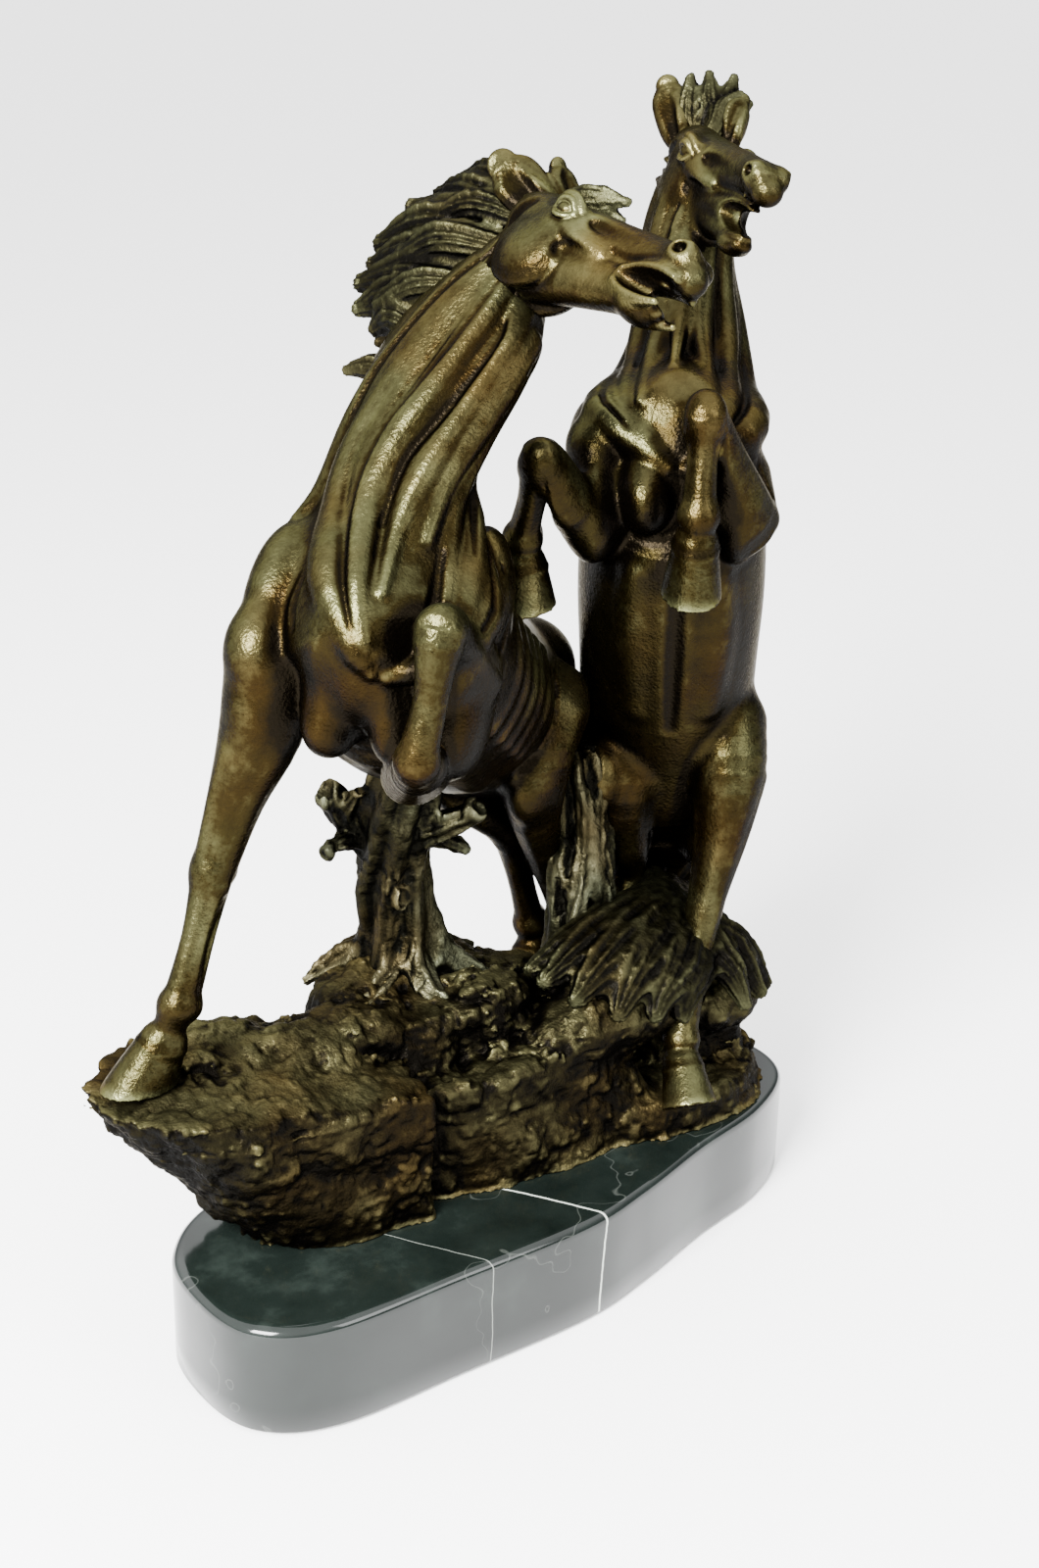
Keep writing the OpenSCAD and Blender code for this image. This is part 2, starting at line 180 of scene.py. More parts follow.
class Clay:
    """A form held as its signed distance on a grid, with the label of the part that owns each place."""
    def __init__(self, low, high, cell):
        self.low = np.array(low, float)
        self.cell = cell
        self.size = np.ceil((np.array(high) - self.low) / cell).astype(int) + 1
        self.field = np.full(self.size, FAR, np.float32)
        self.owner = np.zeros(self.size, np.uint8)

    def twin(self):
        """A second clay of the same form, to measure the first one by while it changes."""
        other = copy.copy(self)
        other.field = self.field.copy()
        return other

    def window(self, low, high):
        """The part of the grid between two corners, and its coordinates."""
        first = np.clip(np.floor((np.asarray(low) - self.low) / self.cell).astype(int), 0, self.size)
        last = np.clip(np.ceil((np.asarray(high) - self.low) / self.cell).astype(int) + 1, 0, self.size)
        where = tuple(slice(a, b) for a, b in zip(first, last))
        axes = [(self.low[i] + self.cell * np.arange(first[i], last[i])).astype(np.float32)
                for i in range(3)]
        return where, np.meshgrid(*axes, indexing="ij", sparse=True)

    def add(self, where, distance, soft=0.0, owner=None):
        """Adds a form; soft is how far the old form and the new one melt into each other."""
        old = self.field[where]
        if owner is not None:
            self.owner[where][distance < old] = owner
        blend = np.maximum(soft - np.abs(old - distance), 0) if soft else 0
        self.field[where] = np.minimum(old, distance) - (blend * blend / (4 * soft) if soft else 0)

    def carve(self, where, distance, soft=0.5):
        old = self.field[where]
        blend = np.maximum(soft - np.abs(old + distance), 0)
        self.field[where] = np.maximum(old, -distance) + blend * blend / (4 * soft)

    def strand(self, points, radii, soft=3.0, owner=None, depth=None, along=None, cut=False, steps=4,
               flutes=0, ripple=0.0, twist=0.0, flat=None):
        """A rope of round section, or of an oval one whose second radii, depth, lie along given ways."""
        p = flow(points, steps)
        r = flow(radii, steps)[:, 0]
        oval = depth is not None
        if oval:
            r2 = flow(depth, steps)[:, 0]
            vectors = np.broadcast_to(np.asarray(along, float), np.shape(points))
            w = flow(vectors, steps)
        reach = max(r.max(), r2.max() if oval else 0) * (1 + ripple) + soft + 2 * self.cell
        where, _ = self.window(p.min(0) - reach, p.max(0) + reach)
        shape = [s.stop - s.start for s in where]
        if min(shape) <= 0:
            return
        total = np.full(shape, FAR, np.float32)
        nearest = np.full(shape, FAR * FAR * 9, np.float32)
        start = np.array([s.start for s in where])
        for i in range(len(p) - 1):
            a, b = p[i], p[i + 1]
            widest = max(r[i], r[i + 1], *(r2[i:i + 2] if oval else (0,)))
            near = widest * (1 + ripple) + soft + 2 * self.cell
            part, (x, y, z) = self.window(np.minimum(a, b) - near, np.maximum(a, b) + near)
            inner = tuple(slice(s.start - o, s.stop - o) for s, o in zip(part, start))
            d = b - a
            length2 = max(float(d @ d), 1e-6)
            t = np.clip(((x - a[0]) * d[0] + (y - a[1]) * d[1] + (z - a[2]) * d[2]) / length2, 0, 1)
            vx, vy, vz = x - (a[0] + t * d[0]), y - (a[1] + t * d[1]), z - (a[2] + t * d[2])
            square = vx * vx + vy * vy + vz * vz
            radius = r[i] + t * (r[i + 1] - r[i])
            if flutes:
                side = unit(np.cross(d, (0.3, 0.2, 0.9)))
                other = unit(np.cross(d, side))
                turn = np.arctan2(vx * side[0] + vy * side[1] + vz * side[2],
                                  vx * other[0] + vy * other[1] + vz * other[2])
                radius = radius * (1 + ripple * np.sin(flutes * turn + twist * (i + t)))
            if oval:
                nx, ny, nz = (w[i][k] + t * (w[i + 1][k] - w[i][k]) for k in range(3))
                deep = (vx * nx + vy * ny + vz * nz) / np.sqrt(nx * nx + ny * ny + nz * nz)
                lost = (vx * d[0] + vy * d[1] + vz * d[2]) ** 2 / length2
                wide2 = np.maximum(square - deep * deep - lost, 0)
                radius2 = r2[i] + t * (r2[i + 1] - r2[i])
                if flutes:
                    radius2 = radius2 * radius / (r[i] + t * (r[i + 1] - r[i]))
                most = np.maximum(radius, radius2)
                q = np.sqrt(wide2 / radius ** 2 + deep ** 2 / radius2 ** 2 + lost / most ** 2)
                slope = np.sqrt(wide2 / radius ** 4 + deep ** 2 / radius2 ** 4 + lost / most ** 4)
                distance = q * (q - 1) / np.maximum(slope, 1e-4)
            else:
                distance = np.sqrt(square) - radius
            closer = square < nearest[inner]
            total[inner] = np.where(closer, distance, total[inner])
            nearest[inner] = np.where(closer, square, nearest[inner])
        if flat is not None:
            _, (x, y, z) = self.window(p.min(0) - reach, p.max(0) + reach)
            (px, py, pz), (nx, ny, nz) = flat[0], unit(flat[1])
            total = np.maximum(total, (x - px) * nx + (y - py) * ny + (z - pz) * nz)
        if cut:
            self.carve(where, total, soft)
        else:
            self.add(where, total, soft, owner)

    def egg(self, centre, radii, axes=None, soft=3.0, owner=None, cut=False):
        centre = np.asarray(centre, float)
        axes = np.eye(3) if axes is None else np.asarray(axes, float)
        reach = np.abs(axes.T) @ np.asarray(radii, float) + soft + 2 * self.cell
        where, (x, y, z) = self.window(centre - reach, centre + reach)
        if min(s.stop - s.start for s in where) <= 0:
            return
        x, y, z = x - centre[0], y - centre[1], z - centre[2]
        q2 = s2 = 0
        for axis, radius in zip(axes, radii):
            along = x * axis[0] + y * axis[1] + z * axis[2]
            q2 = q2 + along ** 2 / radius ** 2
            s2 = s2 + along ** 2 / radius ** 4
        q = np.sqrt(q2)
        distance = (q * (q - 1) / np.maximum(np.sqrt(s2), 1e-4)).astype(np.float32)
        if cut:
            self.carve(where, distance, soft)
        else:
            self.add(where, distance, soft, owner)

    def read(self, places):
        """The distance at each place, between the points of the grid."""
        at = np.clip((places - self.low) / self.cell, 0, self.size - 1.001)
        first = at.astype(int)
        part = (at - first).astype(np.float32)
        value = 0
        for corner in np.ndindex(2, 2, 2):
            share = np.prod(np.where(corner, part, 1 - part), axis=1)
            i, j, k = (first + corner).T
            value = value + share * self.field[i, j, k]
        return value

    def hollows(self, points, normals):
        """How shut in each place is, from 0 in the open to 1 deep in a fold."""
        shut = 0
        for reach in (1.5, 3.5, 7.0, 14.0):
            shut = shut + np.clip(1 - self.read(points + normals * reach) / reach, 0, 1) / 4
        return shut

    def ridges(self, points, normals):
        """How sharply each place stands out, from 0 on the flat to 1 on an edge."""
        out = 0
        for reach in (1.2, 3.0):
            out = out + np.clip(1 + self.read(points - normals * reach) / reach, 0, 1) / 2
        return out

    def roughen(self, amount, size, seed, creased=False, stretch=(1, 1, 1), where=None):
        """Adds lumps about this size to the skin; creased ones leave sharp valleys between them."""
        near = np.abs(self.field) < 2.5 * amount + 2 * self.cell
        index = np.argwhere(near)
        places = self.low + self.cell * index
        lumps = lattice_noise(places / (size * np.array(stretch)), seed)
        lumps = 1 - 2 * np.abs(2 * lumps - 1) if creased else 1 - 2 * lumps
        if where is not None:
            lumps = lumps * where(places)
        self.field[near] += (amount * lumps).astype(np.float32)

    def surface(self, inside, outside):
        """Where the way from a place inside the clay to one outside leaves it."""
        inside, outside = np.asarray(inside, float), np.asarray(outside, float)
        steps = np.linspace(0, 1, int(np.linalg.norm(outside - inside) / self.cell * 2) + 2)
        places = inside + steps[:, None] * (outside - inside)
        index = np.clip(np.rint((places - self.low) / self.cell).astype(int), 0, self.size - 1)
        return places[np.argmax(self.field[index[:, 0], index[:, 1], index[:, 2]] > 0)]

    def soften(self, times=1):
        """Wipes the clay smooth with a small blur."""
        for _ in range(times):
            for axis in range(3):
                f = np.moveaxis(self.field, axis, 0)
                f[1:-1] = (f[:-2] + 2 * f[1:-1] + f[2:]) / 4

    def skin(self):
        """Quads of the clay's surface, its vertices in millimetres and the owner of each face."""
        grid = openvdb.FloatGrid(FAR)
        grid.copyFromArray(self.field)
        points, triangles, quads = grid.convertToPolygons(0.0, 0.0)
        nearest = np.clip(np.rint(points[quads[:, 0]]).astype(int), 0, self.size - 1)
        owner = self.owner[nearest[:, 0], nearest[:, 1], nearest[:, 2]]
        return points * self.cell + self.low, quads, owner


def smooth_normals(points, quads):
    a, b, c, d = (points[quads[:, i]] for i in range(4))
    face = np.cross(c - a, d - b)
    normals = np.zeros_like(points)
    for i in range(4):
        np.add.at(normals, quads[:, i], face)
    return normals / np.maximum(np.linalg.norm(normals, axis=1, keepdims=True), 1e-12)


def mesh_piece(name, points, quads, normals, tones):
    """One piece of bronze; tones are values per vertex that the materials read."""
    used, quads = np.unique(quads, return_inverse=True)
    quads = quads.reshape(-1, 4)
    mesh = bpy.data.meshes.new(name)
    mesh.vertices.add(len(used))
    mesh.vertices.foreach_set("co", (points[used] * MM).astype(np.float32).ravel())
    mesh.loops.add(quads.size)
    mesh.loops.foreach_set("vertex_index", quads.astype(np.int32).ravel())
    mesh.polygons.add(len(quads))
    mesh.polygons.foreach_set("loop_start", np.arange(0, quads.size, 4, dtype=np.int32))
    mesh.update(calc_edges=True)
    mesh.polygons.foreach_set("use_smooth", np.ones(len(quads), bool))
    mesh.normals_split_custom_set_from_vertices(normals[used])
    for tone, values in tones.items():
        layer = mesh.attributes.new(tone, "FLOAT", "POINT")
        layer.data.foreach_set("value", values[used].astype(np.float32))
    piece = bpy.data.objects.new(name, mesh)
    bpy.context.collection.objects.link(piece)
    return piece


def toned_skin(clay):
    """The skin of a clay with its normals and the tones its bronze reads: how shut in each place is, which
    paints patina and painted shade, and how sharply it stands out, which paints wear and painted highlight.
    """
    points, quads, owner = clay.skin()
    normals = smooth_normals(points, quads)
    tones = {"hollow": clay.hollows(points, normals), "ridge": clay.ridges(points, normals)}
    return points, quads, owner, normals, tones


def clay_piece(name, clay, node, material):
    """Turns a whole clay into the piece that stands in for one CAD node."""
    points, quads, _, normals, tones = toned_skin(clay)
    dress(mesh_piece(name, points, quads, normals, tones), node, material)


def dress(piece, node, material):
    """Gives a piece its material and its place in the model."""
    piece.data.materials.append(material)
    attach(piece, "root")
    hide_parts(node)


# ---------------------------------------------------------------------------
# Horses
# ---------------------------------------------------------------------------
def trunk_axes(horse):
    """Ahead, left and up of the trunk."""
    turn, pitch, roll = (math.radians(horse[k]) for k in ("turn", "pitch", "roll"))
    ahead = np.array([math.cos(turn) * math.cos(pitch), math.sin(turn) * math.cos(pitch),
                      math.sin(pitch)])
    left = np.array([-math.sin(turn), math.cos(turn), 0.0])
    up = np.cross(ahead, left)
    left, up = (math.cos(roll) * left + math.sin(roll) * up,
                -math.sin(roll) * left + math.cos(roll) * up)
    return np.array([ahead, left, up])


class Frame:
    """Places shapes given in head lengths along three axes."""
    def __init__(self, origin, axes, scale=HEAD):
        self.origin, self.axes, self.scale = np.asarray(origin, float), np.asarray(axes, float), scale

    def at(self, *point):
        return self.origin + self.scale * (np.asarray(point, float) @ self.axes)

    def run(self, points):
        return [self.at(*p) for p in points]

    def way(self, *direction):
        return unit(np.asarray(direction, float) @ self.axes)


class Carver:
    """Puts eggs and cords on a clay, given in the lengths and along the axes of a frame."""
    def __init__(self, clay, frame, owner):
        self.clay, self.frame, self.owner = clay, frame, owner

    def on_side(self, side):
        """The same carver with its sideways axis turned to the left, 1, or the right, -1."""
        f = self.frame
        return Carver(self.clay, Frame(f.origin, f.axes * np.array([[1], [side], [1]]), f.scale), self.owner)

    def egg(self, place, sizes, soft, axes=None, cut=False):
        radii = [size * self.frame.scale for size in sizes]
        axes = self.frame.axes if axes is None else axes
        self.clay.egg(self.frame.at(*place), radii, axes, soft, self.owner, cut)

    def cord(self, places, sizes, soft, **more):
        radii = [size * self.frame.scale for size in sizes]
        self.clay.strand(self.frame.run(places), radii, soft, self.owner, **more)

    def oval(self, places, widths, depths, soft):
        """A cord of oval section, with its widths along the sideways axis."""
        widths = [width * self.frame.scale for width in widths]
        self.cord(places, depths, soft, depth=widths, along=self.frame.way(0, 1, 0))


BODY, HEAD_PART, FORE_R, FORE_L, HIND_R, HIND_L = range(6)
PARTS = ["body", "head", "foreleg_right", "foreleg_left", "hindleg_right", "hindleg_left"]


def head_frame(horse):
    """Axes of the head from the poll: ahead to the muzzle, left, and up out of the forehead."""
    poll, muzzle = np.array(horse["poll"], float), np.array(horse["muzzle"], float)
    x = unit(muzzle - poll)
    up = np.array([0, 0, 1.0])
    z = unit(up - (up @ x) * x)
    y = np.cross(z, x)
    roll = math.radians(horse["head_roll"])
    y, z = math.cos(roll) * y + math.sin(roll) * z, -math.sin(roll) * y + math.cos(roll) * z
    return Frame(poll, [x, y, z], np.linalg.norm(muzzle - poll))


JAW_JOINT = np.array([0.14, 0, -0.16])


def swung(place, gape):
    """Where a place on the lower jaw comes to when the mouth opens by this angle."""
    v = np.asarray(place, float) - JAW_JOINT
    return JAW_JOINT + np.array([v[0] * math.cos(gape) + v[2] * math.sin(gape), v[1],
                                 -v[0] * math.sin(gape) + v[2] * math.cos(gape)])


def sculpt_head(clay, horse, owner=HEAD_PART):
    head = Carver(clay, head_frame(horse), owner)
    gape = math.radians(horse["gape"])
    # skull from the poll to the upper lip
    head.oval([(0.02, 0, -0.13), (0.16, 0, -0.13), (0.30, 0, -0.135), (0.46, 0, -0.125),
               (0.62, 0, -0.11), (0.78, 0, -0.105), (0.90, 0, -0.11), (0.955, 0, -0.135)],
              [0.115, 0.145, 0.165, 0.125, 0.088, 0.080, 0.088, 0.075],
              [0.115, 0.135, 0.135, 0.122, 0.103, 0.092, 0.090, 0.070], 3)
    # lower jaw with its chin, the poll, and the flesh between the jaws
    jaw = [(0.26, 0, -0.31), (0.42, 0, -0.285), (0.58, 0, -0.265), (0.72, 0, -0.245),
           (0.84, 0, -0.235), (0.90, 0, -0.225)]
    head.oval([swung(p, gape) for p in jaw], [0.115, 0.092, 0.080, 0.072, 0.074, 0.056],
              [0.110, 0.090, 0.066, 0.052, 0.050, 0.036], 3)
    head.egg(swung((0.84, 0, -0.262), gape), (0.066, 0.070, 0.036), 3)
    head.egg((0.05, 0, -0.09), (0.13, 0.11, 0.11), 4)
    front = (np.array([0.93, 0, -0.20]) + swung((0.90, 0, -0.21), gape)) / 2
    back = (np.array([0.60, 0, -0.21]) + swung((0.60, 0, -0.235), gape)) / 2
    head.oval([(0.34, 0, -0.23), back, back * 0.5 + front * 0.5, front - (0.04, 0, 0)],
              [0.125, 0.088, 0.074, 0.060],
              [0.13, 0.07 + gape * 0.1, 0.06 + gape * 0.2, 0.04 + gape * 0.2], 3)
    for side in (-1, 1):
        half = head.on_side(side)
        sculpt_cheek(half)
        sculpt_eye(half)
        sculpt_nostril(half)
        sculpt_lips(half, front, back, gape)
    sculpt_mouth(head, front, back, gape)
    for ear in horse["ears"]:
        sculpt_ear(clay, np.array(ear["points"], float), unit(ear["face"]), ear["width"], owner)


def sculpt_cheek(half):
    """Cheek plate with its round back edge, the crease behind it and the low ridge before it."""
    half.egg((0.215, 0.092, -0.262), (0.190, 0.072, 0.195), 1.6)
    half.egg((0.24, 0.130, -0.285), (0.115, 0.044, 0.120), 3)
    half.egg((0.10, 0.09, -0.12), (0.10, 0.05, 0.08), 3)
    ways = [(half.frame.at(x, 0, z), half.frame.at(x, 0.5, z)) for x, z in
            ((0.09, -0.10), (0.03, -0.18), (0.005, -0.28), (0.03, -0.39), (0.10, -0.47))]
    lay(half.clay, ways, [1.4, 2.4, 3.0, 2.6, 1.6], 2.2, sink=-0.35, cut=True)
    half.cord([(0.36, 0.128, -0.165), (0.46, 0.112, -0.190), (0.56, 0.088, -0.195)],
              [0.016, 0.020, 0.012], 4)
    half.egg((0.44, 0.125, -0.250), (0.07, 0.022, 0.035), 2.5, cut=True)


# Upper lid, lower lid and the fold above them: places, thicknesses and softness
LIDS = [
    ([(0.250, 0.158, -0.105), (0.278, 0.178, -0.070), (0.330, 0.176, -0.066), (0.365, 0.150, -0.105)],
     [0.010, 0.014, 0.013, 0.009], 0.7),
    ([(0.250, 0.158, -0.110), (0.285, 0.174, -0.138), (0.330, 0.170, -0.140), (0.365, 0.150, -0.108)],
     [0.009, 0.011, 0.011, 0.009], 0.7),
    ([(0.235, 0.150, -0.085), (0.270, 0.168, -0.040), (0.335, 0.164, -0.036), (0.385, 0.135, -0.085)],
     [0.008, 0.012, 0.011, 0.007], 1.0),
]


def sculpt_eye(half):
    """Brow, the hollows behind it and along the nose, and the eye in its socket."""
    half.cord([(0.22, 0.125, -0.050), (0.29, 0.152, -0.042), (0.36, 0.142, -0.065)],
              [0.024, 0.032, 0.020], 3)
    half.egg((0.20, 0.155, -0.05), (0.05, 0.02, 0.03), 2, cut=True)
    half.egg((0.56, 0.115, -0.10), (0.13, 0.022, 0.03), 2.5, cut=True)
    half.egg((0.305, 0.186, -0.100), (0.060, 0.034, 0.046), 1.5, cut=True)
    half.egg((0.305, 0.146, -0.100), (0.045, 0.038, 0.038), 0.4)
    for places, sizes, soft in LIDS:
        half.cord(places, sizes, soft)


def sculpt_nostril(half):
    """A rolled rim round a deep hole."""
    half.egg((0.905, 0.060, -0.076), (0.070, 0.040, 0.056), 3)
    rim = [(0.930, 0.086, -0.042), (0.885, 0.096, -0.054), (0.875, 0.094, -0.090),
           (0.908, 0.088, -0.106), (0.942, 0.076, -0.082), (0.930, 0.086, -0.042)]
    half.cord(rim, [0.009] * len(rim), 2.0)
    half.egg((0.908, 0.100, -0.074), (0.026, 0.030, 0.022), 1.2, cut=True)


WIDE_GAPE = 0.2  # radians; past this the lips are drawn back flat


def mouth_ways(front, back):
    """Along the parting of the lips, and across it in the head's middle plane."""
    drop = unit(front - back)
    return drop, np.array([-drop[2], 0, drop[0]])


def mouth_axes(frame, front, back):
    drop, rise = mouth_ways(front, back)
    return [drop @ frame.axes, frame.axes[1], rise @ frame.axes]


def sculpt_lips(half, front, back, gape):
    """Half of the mouth: an almond hollowed from the side, with a soft lip above and below it."""
    tall = 0.042 + gape * 0.16
    drop, rise = mouth_ways(front, back)
    middle = back * 0.12 + front * 0.88
    if gape < WIDE_GAPE:
        for edge in (-1, 1):
            lip = [middle + (0, 0.074, 0) + drop * 0.15 * t
                   + rise * edge * (tall + 0.012) * (1 - 0.5 * t * t) for t in (-1.1, -0.5, 0.1, 0.6)]
            half.cord(lip, [0.014, 0.022, 0.022, 0.016], 3)
    deep = 0.098 if gape < WIDE_GAPE else 0.13
    half.egg(middle + (0.0, 0.115, 0), (0.180, deep, tall), 1.0,
             mouth_axes(half.frame, front, back), cut=True)


def sculpt_mouth(head, front, back, gape):
    """The mouth's opening to the front, with the upper teeth and the tongue inside."""
    head.egg(front + (0.03, 0, -0.005), (0.09, 0.055, 0.020 + gape * 0.16), 1.2,
             mouth_axes(head.frame, front, back), cut=True)
    for side in (-1, 1):
        for k in range(3):
            head.egg((0.915 - 0.022 * k, side * (0.012 + 0.02 * k), -0.180), (0.010, 0.011, 0.016), 0.8)
    tongue = [(0.60, 0, -0.22), (0.72, 0, -0.215), (0.84, 0, -0.212)]
    head.oval([swung(p, gape) for p in tongue], [0.050, 0.046, 0.034], [0.022, 0.020, 0.014], 1)


def sculpt_ear(clay, points, face, width, owner):
    """A broad spoon, dished on its face, with the near edge folded over."""
    clay.strand(points, [width * k for k in (0.50, 0.88, 1.0, 0.96, 0.62)], 1.5, owner,
                depth=[4.4, 4.6, 4.2, 3.4, 2.2], along=face)
    clay.strand([p + face * 4.6 for p in points[1:]], [width * k for k in (0.36, 0.60, 0.62, 0.30)], 1.6,
                depth=[0.8, 1.2, 1.7, 1.2], along=face, cut=True)
    side = unit(np.cross(points[-1] - points[0], face))
    lifts = (2.5, 3.4, 3.4, 2.4)
    shifts = (0.2, 0.30, 0.34, 0.30)
    fold = [p + face * lift + side * width * shift for p, lift, shift in zip(points, lifts, shifts)]
    clay.strand(fold, [2.4, 2.2, 1.8, 1.0], 2.0, owner)


class Neck:
    """The neck's oval sections, and places on its skin: s from 0 at the chest to 1 at the poll."""
    def __init__(self, horse):
        crest, throat = (np.array(horse[k], float) for k in ("crest", "throat"))
        rc, rt = np.array(horse["crest_r"], float), np.array(horse["throat_r"], float)
        lean = (crest - throat) / np.linalg.norm(crest - throat, axis=1, keepdims=True)
        high, low = crest + lean * rc[:, None], throat - lean * rt[:, None]
        self.middle, self.lean = (high + low) / 2, lean
        self.depth = np.linalg.norm(high - low, axis=1) / 2
        self.width = (rc + rt) / 2 * np.array([1.1, 1.15, 1.1, 1.05, 0.95])

    def section(self, s):
        """Middle, lean and the way ahead at s, carried on straight past both ends."""
        k = int(np.clip(s * 4, 0, 3))
        t = s * 4 - k
        middle = self.middle[k] * (1 - t) + self.middle[k + 1] * t
        lean = self.lean[k] * (1 - t) + self.lean[k + 1] * t
        return middle, unit(lean), unit(self.middle[k + 1] - self.middle[k])

    def ray(self, s, angle, length=70):
        """A way out of the neck at s; the angle runs in degrees from the crest round the right side."""
        middle, lean, ahead = self.section(s)
        right = unit(np.cross(ahead, lean))
        a = math.radians(angle)
        return middle, middle + length * (right * math.sin(a) + lean * math.cos(a))


def lay(clay, ways, radii, soft, owner=None, sink=0.45, cut=False):
    """Lays a cord on the skin of the clay, along the ends of straight ways out of it."""
    places = []
    for (inside, outside), radius in zip(ways, radii):
        out = unit(np.subtract(outside, inside))
        places.append(clay.surface(inside, outside) - out * radius * sink)
    clay.strand(places, radii, soft, owner, cut=cut)


# Muscles of one side of the neck: (s, angle) down from the jaw, then the thickest radius
NECK_MUSCLES = [
    ([(1.02, 104), (0.80, 94), (0.62, 86), (0.46, 83), (0.32, 88), (0.22, 104), (0.13, 126), (0.06, 150),
      (0.00, 168), (-0.04, 177)], 8.5),
    ([(1.00, 138), (0.75, 144), (0.55, 145), (0.40, 143), (0.28, 142), (0.18, 148), (0.09, 160),
      (0.02, 170)], 6.8),
    ([(0.98, 164), (0.80, 166), (0.62, 167), (0.42, 167), (0.28, 167), (0.18, 166), (0.10, 168)], 4.8),
    ([(0.92, 64), (0.70, 56), (0.45, 52), (0.25, 56), (0.10, 66), (0.02, 76)], 8.0),
    ([(0.86, 124), (0.66, 116), (0.48, 112), (0.34, 114), (0.24, 126), (0.15, 142)], 4.4),
]
WINDPIPE = ([(0.98, 180), (0.80, 180), (0.45, 180), (0.30, 180), (0.18, 180)], 5.0)
NECK_GROOVES = [
    [(0.92, 120), (0.66, 128), (0.44, 127), (0.30, 126), (0.20, 136), (0.11, 152), (0.04, 164)],
    [(0.92, 152), (0.66, 157), (0.42, 156), (0.28, 154), (0.18, 158)],
    [(0.90, 80), (0.66, 70), (0.44, 66), (0.28, 74), (0.18, 92), (0.09, 116)],
]


def sculpt_neck(clay, horse, owner=BODY):
    neck = Neck(horse)
    clay.strand(neck.middle, neck.width, 10, owner, depth=neck.depth, along=neck.lean)


def sculpt_neck_muscles(clay, horse, owner=BODY):
    """Cords that taper at the chest, sunk into the plain neck, then the grooves between them."""
    neck = Neck(horse)
    cords = [(run, radius, side) for run, radius in NECK_MUSCLES for side in (1, -1)] + [(*WINDPIPE, 1)]
    plain = clay.twin()
    for run, radius, side in cords:
        radii = [radius * min(1, 0.3 + 0.35 * (len(run) - 1 - i)) for i in range(len(run))]
        places = []
        for (s, angle), r in zip(run, radii):
            inside, outside = neck.ray(s, angle * side)
            out = unit(outside - inside)
            sunk = 0.85 * r + 0.12 * (r - radius)
            places.append(plain.surface(inside, outside) - out * sunk + out * 0.30 * r)
        clay.strand(places, radii, 2.6, owner)
    for run in NECK_GROOVES:
        for side in (1, -1):
            radii = [min(1.3, 0.3 + 0.6 * min(i, len(run) - 1 - i)) for i in range(len(run))]
            lay(clay, [neck.ray(s, a * side) for s, a in run], radii, 1.6, sink=0.0, cut=True)


TRUNK = [  # forward, up, half width, half height, all in head lengths
    (-1.22, 0.04, 0.20, 0.24), (-1.00, 0.10, 0.37, 0.41), (-0.60, 0.08, 0.41, 0.44),
    (-0.15, 0.02, 0.42, 0.47), (0.30, -0.01, 0.43, 0.50), (0.70, 0.00, 0.40, 0.52),
    (1.00, -0.06, 0.28, 0.36),
]
# Muscle masses on each side: centre and half sizes, both (forward, side, up)
MASSES = [
    ((1.06, 0.15, -0.04), (0.18, 0.17, 0.20)), ((0.88, 0.13, -0.38), (0.13, 0.10, 0.15)),
    ((0.62, 0.28, 0.20), (0.20, 0.15, 0.34)),
    ((-0.86, 0.27, -0.02), (0.34, 0.17, 0.38)), ((-1.10, 0.20, -0.04), (0.20, 0.15, 0.34)),
    ((-0.80, 0.17, 0.34), (0.36, 0.20, 0.20)), ((-0.66, 0.30, -0.24), (0.20, 0.12, 0.22)),
]
# Shoulder masses: forward, out from the shoulder's own width, up, then half sizes
SHOULDER = [
    ((0.92, 0.00, 0.02), (0.20, 0.15, 0.36)), ((1.02, 0.02, -0.16), (0.15, 0.14, 0.18)),
    ((0.80, 0.04, -0.30), (0.24, 0.13, 0.26)),
]


# Cords and grooves on each side: places (forward, side, up), radii in millimetres, softness, how far
# the middle of the cord sinks in radii, and whether it is cut in
FRONT_LINES = [
    # flat muscle down the belly
    ([(0.55, 0.20, -0.48), (0.20, 0.23, -0.50), (-0.20, 0.20, -0.44)], [5.0, 8.0, 5.0], 4, 0.80, False),
    # between the breast and the shoulder
    ([(1.10, 0.26, 0.26), (1.16, 0.28, 0.06), (1.20, 0.27, -0.12)], [1.2, 2.2, 1.8], 1.6, -0.2, True),
    # behind the shoulder, and between its two heads
    ([(0.62, 0.45, 0.16), (0.66, 0.5, -0.08), (0.60, 0.46, -0.32)], [1.0, 2.0, 1.4], 2, -0.2, True),
    ([(0.90, 0.5, 0.10), (0.93, 0.55, -0.06), (0.84, 0.55, -0.24)], [0.8, 1.6, 1.0], 2, -0.2, True),
]
FLANK_LINES = [
    # in front of the thigh, and the parting behind it
    ([(-0.42, 0.42, 0.20), (-0.48, 0.46, -0.10), (-0.40, 0.40, -0.36)], [1.5, 3.0, 2.0], 3.5, -0.1, True),
    ([(-1.00, 0.42, 0.24), (-1.06, 0.46, -0.04), (-0.98, 0.40, -0.30)], [1.0, 2.0, 1.4], 2.5, -0.1, True),
]
MIDLINE = ([(0.60, 0, -0.50), (0.20, 0, -0.52), (-0.30, 0, -0.44)], [1.0, 2.2, 1.0], 3.5, -0.1, True)


def rib_lines(count):
    lines = []
    for k in range(count):
        a = 0.36 - 0.15 * k
        places = [(a, 0.36, 0.26), (a - 0.04, 0.44, 0.02), (a + 0.01, 0.38, -0.26)]
        lines.append((places, [1.2, 2.0, 1.2], 5, 1.1, False))
    return lines


